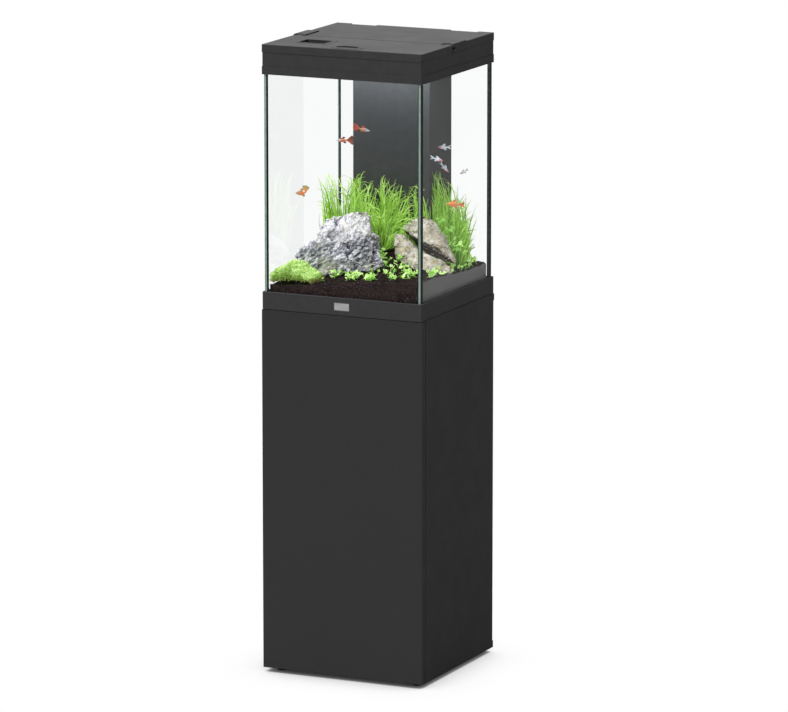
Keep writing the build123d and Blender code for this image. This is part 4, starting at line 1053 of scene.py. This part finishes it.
def build_fish(name, kind, box, length, heading, dip, tail_lift, replaced=()):
    """One fish in the box of its CAD solid: head along heading on X, nose dipping, tail bent upward."""
    (head, rear, back, fin, edge), (depth, dorsal, tail_half, fork) = SPECIES[kind]
    low, high = box
    about_face = 0.0 if heading > 0 else math.pi
    turn = Matrix.Rotation(about_face, 3, "Z") @ Matrix.Rotation(math.radians(dip), 3, "Y")
    middle = (low + high) / 2 + turn @ Vector((0.175 * length, 0, 0))
    body = length * 0.92
    nose = length / 2
    height = length * depth
    width = height * 0.6
    shape = Shape()
    rings = []
    paint = []
    for station in range(BODY_STATIONS):
        share = station / (BODY_STATIONS - 1)
        tall = 0.5 * height * through(HEIGHT_PROFILE, share)
        wide = 0.5 * width * through(WIDTH_PROFILE, share)
        swim = 0.02 * body * math.sin(3 * share + middle.x * 90)
        colour = shade(head, rear, smooth_step((share - 0.2) * 3))
        for out, up in circle(BODY_SIDES):
            rise = tall * up * (0.9 if up > 0 else 1.1)
            rings.append(Vector((nose - body * share, wide * out + swim, rise)))
            paint.append(shade(colour, back, smooth_step((up - 0.4) * 2) * 0.8))
    faces = grid_faces(BODY_STATIONS, BODY_SIDES, closed=True)
    faces.append(tuple(range(BODY_SIDES)))
    faces.append(tuple(reversed(range((BODY_STATIONS - 1) * BODY_SIDES, BODY_STATIONS * BODY_SIDES))))
    shape.add(rings, faces, paint)

    def at(share, rise):
        """A point in the fish's middle plane, by shares of its body's length and height."""
        return Vector((nose - body * share, 0, height * rise))

    tail_root = at(0.97, 0)
    tail_turn = Matrix.Rotation(math.radians(tail_lift), 3, "Y")
    flare = length * tail_half
    tail_end = Vector((-0.85 * length - tail_root.x, 0, 0))
    tail_tips = [tail_root + tail_turn @ (tail_end + Vector((0, 0, side * flare))) for side in (1, -1)]
    add_fin(shape, (at(0.97, 0.17), at(0.97, -0.17)), tail_tips, 13, fin, edge, 0.0012, fork)
    add_fin(shape, (at(0.42, 0.42), at(0.66, 0.32)), (at(0.66, 0.42 + dorsal), at(0.86, 0.55)), 6,
            fin, edge, 0.0006)
    add_fin(shape, (at(0.6, -0.46), at(0.8, -0.28)), (at(0.76, -0.9), at(0.94, -0.5)), 6, fin, edge, 0.0005)
    for side in (-1, 1):
        chest = Vector((0, side * width * 0.42, 0))
        drop = Vector((0, side * width * 0.4, 0))
        add_fin(shape, (at(0.3, -0.1) + chest, at(0.34, -0.2) + chest),
                (at(0.46, -0.2) + chest + drop, at(0.44, -0.42) + chest + drop), 4, fin, fin, 0.0002)
        add_eye(shape, at(0.13, 0.1) + Vector((0, side * width * 0.36, 0)), side, height * 0.1)
    shape.points = [middle + turn @ point for point in shape.points]
    shape.piece(name, "fish_skin", replaced)


# ================================================================ building the inside of the tank
build_soil()
build_soil_grains()
build_rock("rock_left_stone", LEFT_ROCK, "rock_grey", ("rock_left",), 3.1, 0.008)
build_rock("rock_right_upper", UPPER_RIGHT_ROCK, "rock_tan", ("rock_right",), 7.4, 0.0035)
build_rock("rock_right_lower", LOWER_RIGHT_ROCK, "rock_tan", (), 9.2, 0.004)

for index, (name, groups) in enumerate(TUFTS.items()):
    build_tuft(name, groups, 21 + index, ("grass",) if index == 0 else ())
build_creepers("creepers_front", FRONT_SPRIGS, 31, ("leaf_plants",))
build_creepers("creepers_right", RIGHT_SPRIGS, 32)
build_moss()

# The school from the highest fish to the lowest: kind, body length in millimetres, heading along X, and
# in degrees how far the nose dips and the tail lifts.
SCHOOL = (
    ("guppy", 29, 1, 10, 0), ("dark_guppy", 30, -1, 4, 0), ("tetra", 27, -1, 4, 0),
    ("tetra", 25, 1, 10, 0), ("tetra", 24, 1, 45, 0), ("tetra", 18, -1, 30, 0),
    ("orange_guppy", 28, -1, 6, 75), ("platy", 34, -1, 0, 0),
)
for index, (box, (kind, length, heading, dip, lift)) in enumerate(zip(islands("fish"), SCHOOL)):
    replaced = ("fish",) if index == 0 else ()
    build_fish(f"{kind}_{index + 1}", kind, box, length * MM, heading, dip, lift, replaced)


# ================================================================ studio
def build_floor():
    """A wide white floor with a soft contact shadow; mirrors look past it at the studio.

    The camera sees its shadow only near the object, where little open sky reaches the floor. Other rays
    meet plain matt paper.
    """
    mesh = bpy.data.meshes.new("studio_floor")
    half = 30.0
    corners = [(-half, -half, 0), (half, -half, 0), (half, half, 0), (-half, half, 0)]
    mesh.from_pydata(corners, [], [(0, 1, 2, 3)])
    r = Recipe("studio_floor")
    paper = r.shader(r.ramp(r.noise(3, 3), (0.3, 0.7), (0.7, 0.74)), 0.9, Specular_IOR_Level=0.0)
    openness = r.node("ShaderNodeAmbientOcclusion", {"Distance": 0.16}, samples=12).outputs["AO"]
    lit = r.ramp(openness, (0.0, 0.015), (0.3, 0.22), (0.52, 0.78), (0.75, 0.96), (0.95, 1.0))
    sweep = r.node("ShaderNodeEmission", {"Color": lit, "Strength": 1.0}).outputs[0]
    clear = r.node("ShaderNodeBsdfTransparent").outputs[0]
    ray = r.node("ShaderNodeLightPath").outputs
    seen = r.blend(ray["Is Camera Ray"], paper, sweep)
    mesh.materials.append(r.finish(r.blend(ray["Is Glossy Ray"], seen, clear)))
    floor = bpy.data.objects.new("studio_floor", mesh)
    scene.collection.objects.link(floor)


def build_world():
    """White to look at; as light, strongest from above, behind and the left.

    Sharp mirrors see a white backdrop behind the tank that fades to a dim room in front of it.
    """
    brightest_from = (-0.42, 0.36, 0.82)
    side_light = 0.39
    least_light = 0.08
    r = Recipe("studio", world=True)
    slope = r.node("ShaderNodeVectorMath", {0: r.direction, 1: brightest_from}, operation="DOT_PRODUCT")
    level = r.maths("ADD", slope.outputs["Value"], side_light)
    light = r.node("ShaderNodeBackground", {"Strength": r.maths("MAXIMUM", level, least_light)}).outputs[0]
    backdrop = r.node("ShaderNodeBackground", {"Color": (1, 1, 1, 1)}).outputs[0]
    ray = r.node("ShaderNodeLightPath").outputs
    fade = {"Value": r.axis(r.direction, "Y"), "From Min": -0.5, "From Max": 0.7, "To Max": 0.75}
    behind = r.node("ShaderNodeMapRange", fade).outputs["Result"]
    mirrored = r.maths("MULTIPLY", behind, ray["Is Singular Ray"])
    looked_at = r.maths("MAXIMUM", ray["Is Camera Ray"], mirrored)
    scene.world = r.finish(r.blend(looked_at, light, backdrop))


def add_light(name, kind, energy, colour=(1, 1, 1), **settings):
    light = bpy.data.lights.new(name, kind)
    light.energy = energy
    light.color = colour
    for key, value in settings.items():
        setattr(light, key, value)
    lamp = bpy.data.objects.new(name, light)
    scene.collection.objects.link(lamp)
    return lamp


def build_lights():
    """A soft key from the upper left front, and the tank's own lamp under its LED bar."""
    key = add_light("key", "SUN", 2.75, angle=math.radians(50))
    key.rotation_euler = Vector((-0.55, -0.75, 1.0)).to_track_quat("Z", "Y").to_euler()
    key.visible_glossy = False
    bar = add_light("led_glow", "AREA", 1.0, (0.86, 0.93, 1.0), shape="RECTANGLE",
                    size=led_high.x - led_low.x, size_y=led_high.y - led_low.y)
    bar.location = ((led_low.x + led_high.x) / 2, (led_low.y + led_high.y) / 2, led_low.z - 0.002)
    bar.visible_camera = False
    bar.visible_glossy = False
    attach(bar, "hood")


def build_camera():
    """A long lens from the right front, a little above the hood."""
    data = bpy.data.cameras.new("camera")
    data.sensor_width = 36.0
    data.lens = 262.68
    camera = bpy.data.objects.new("camera", data)
    camera.location = (5.4542, -11.6763, 3.2555)
    camera.rotation_euler = (math.radians(78.861), 0, math.radians(24.884))
    scene.collection.objects.link(camera)
    scene.camera = camera


build_floor()
build_world()
build_lights()
build_camera()
scene.view_settings.view_transform = "Standard"
scene.cycles.transparent_max_bounces = 32
scene.cycles.max_bounces = 10
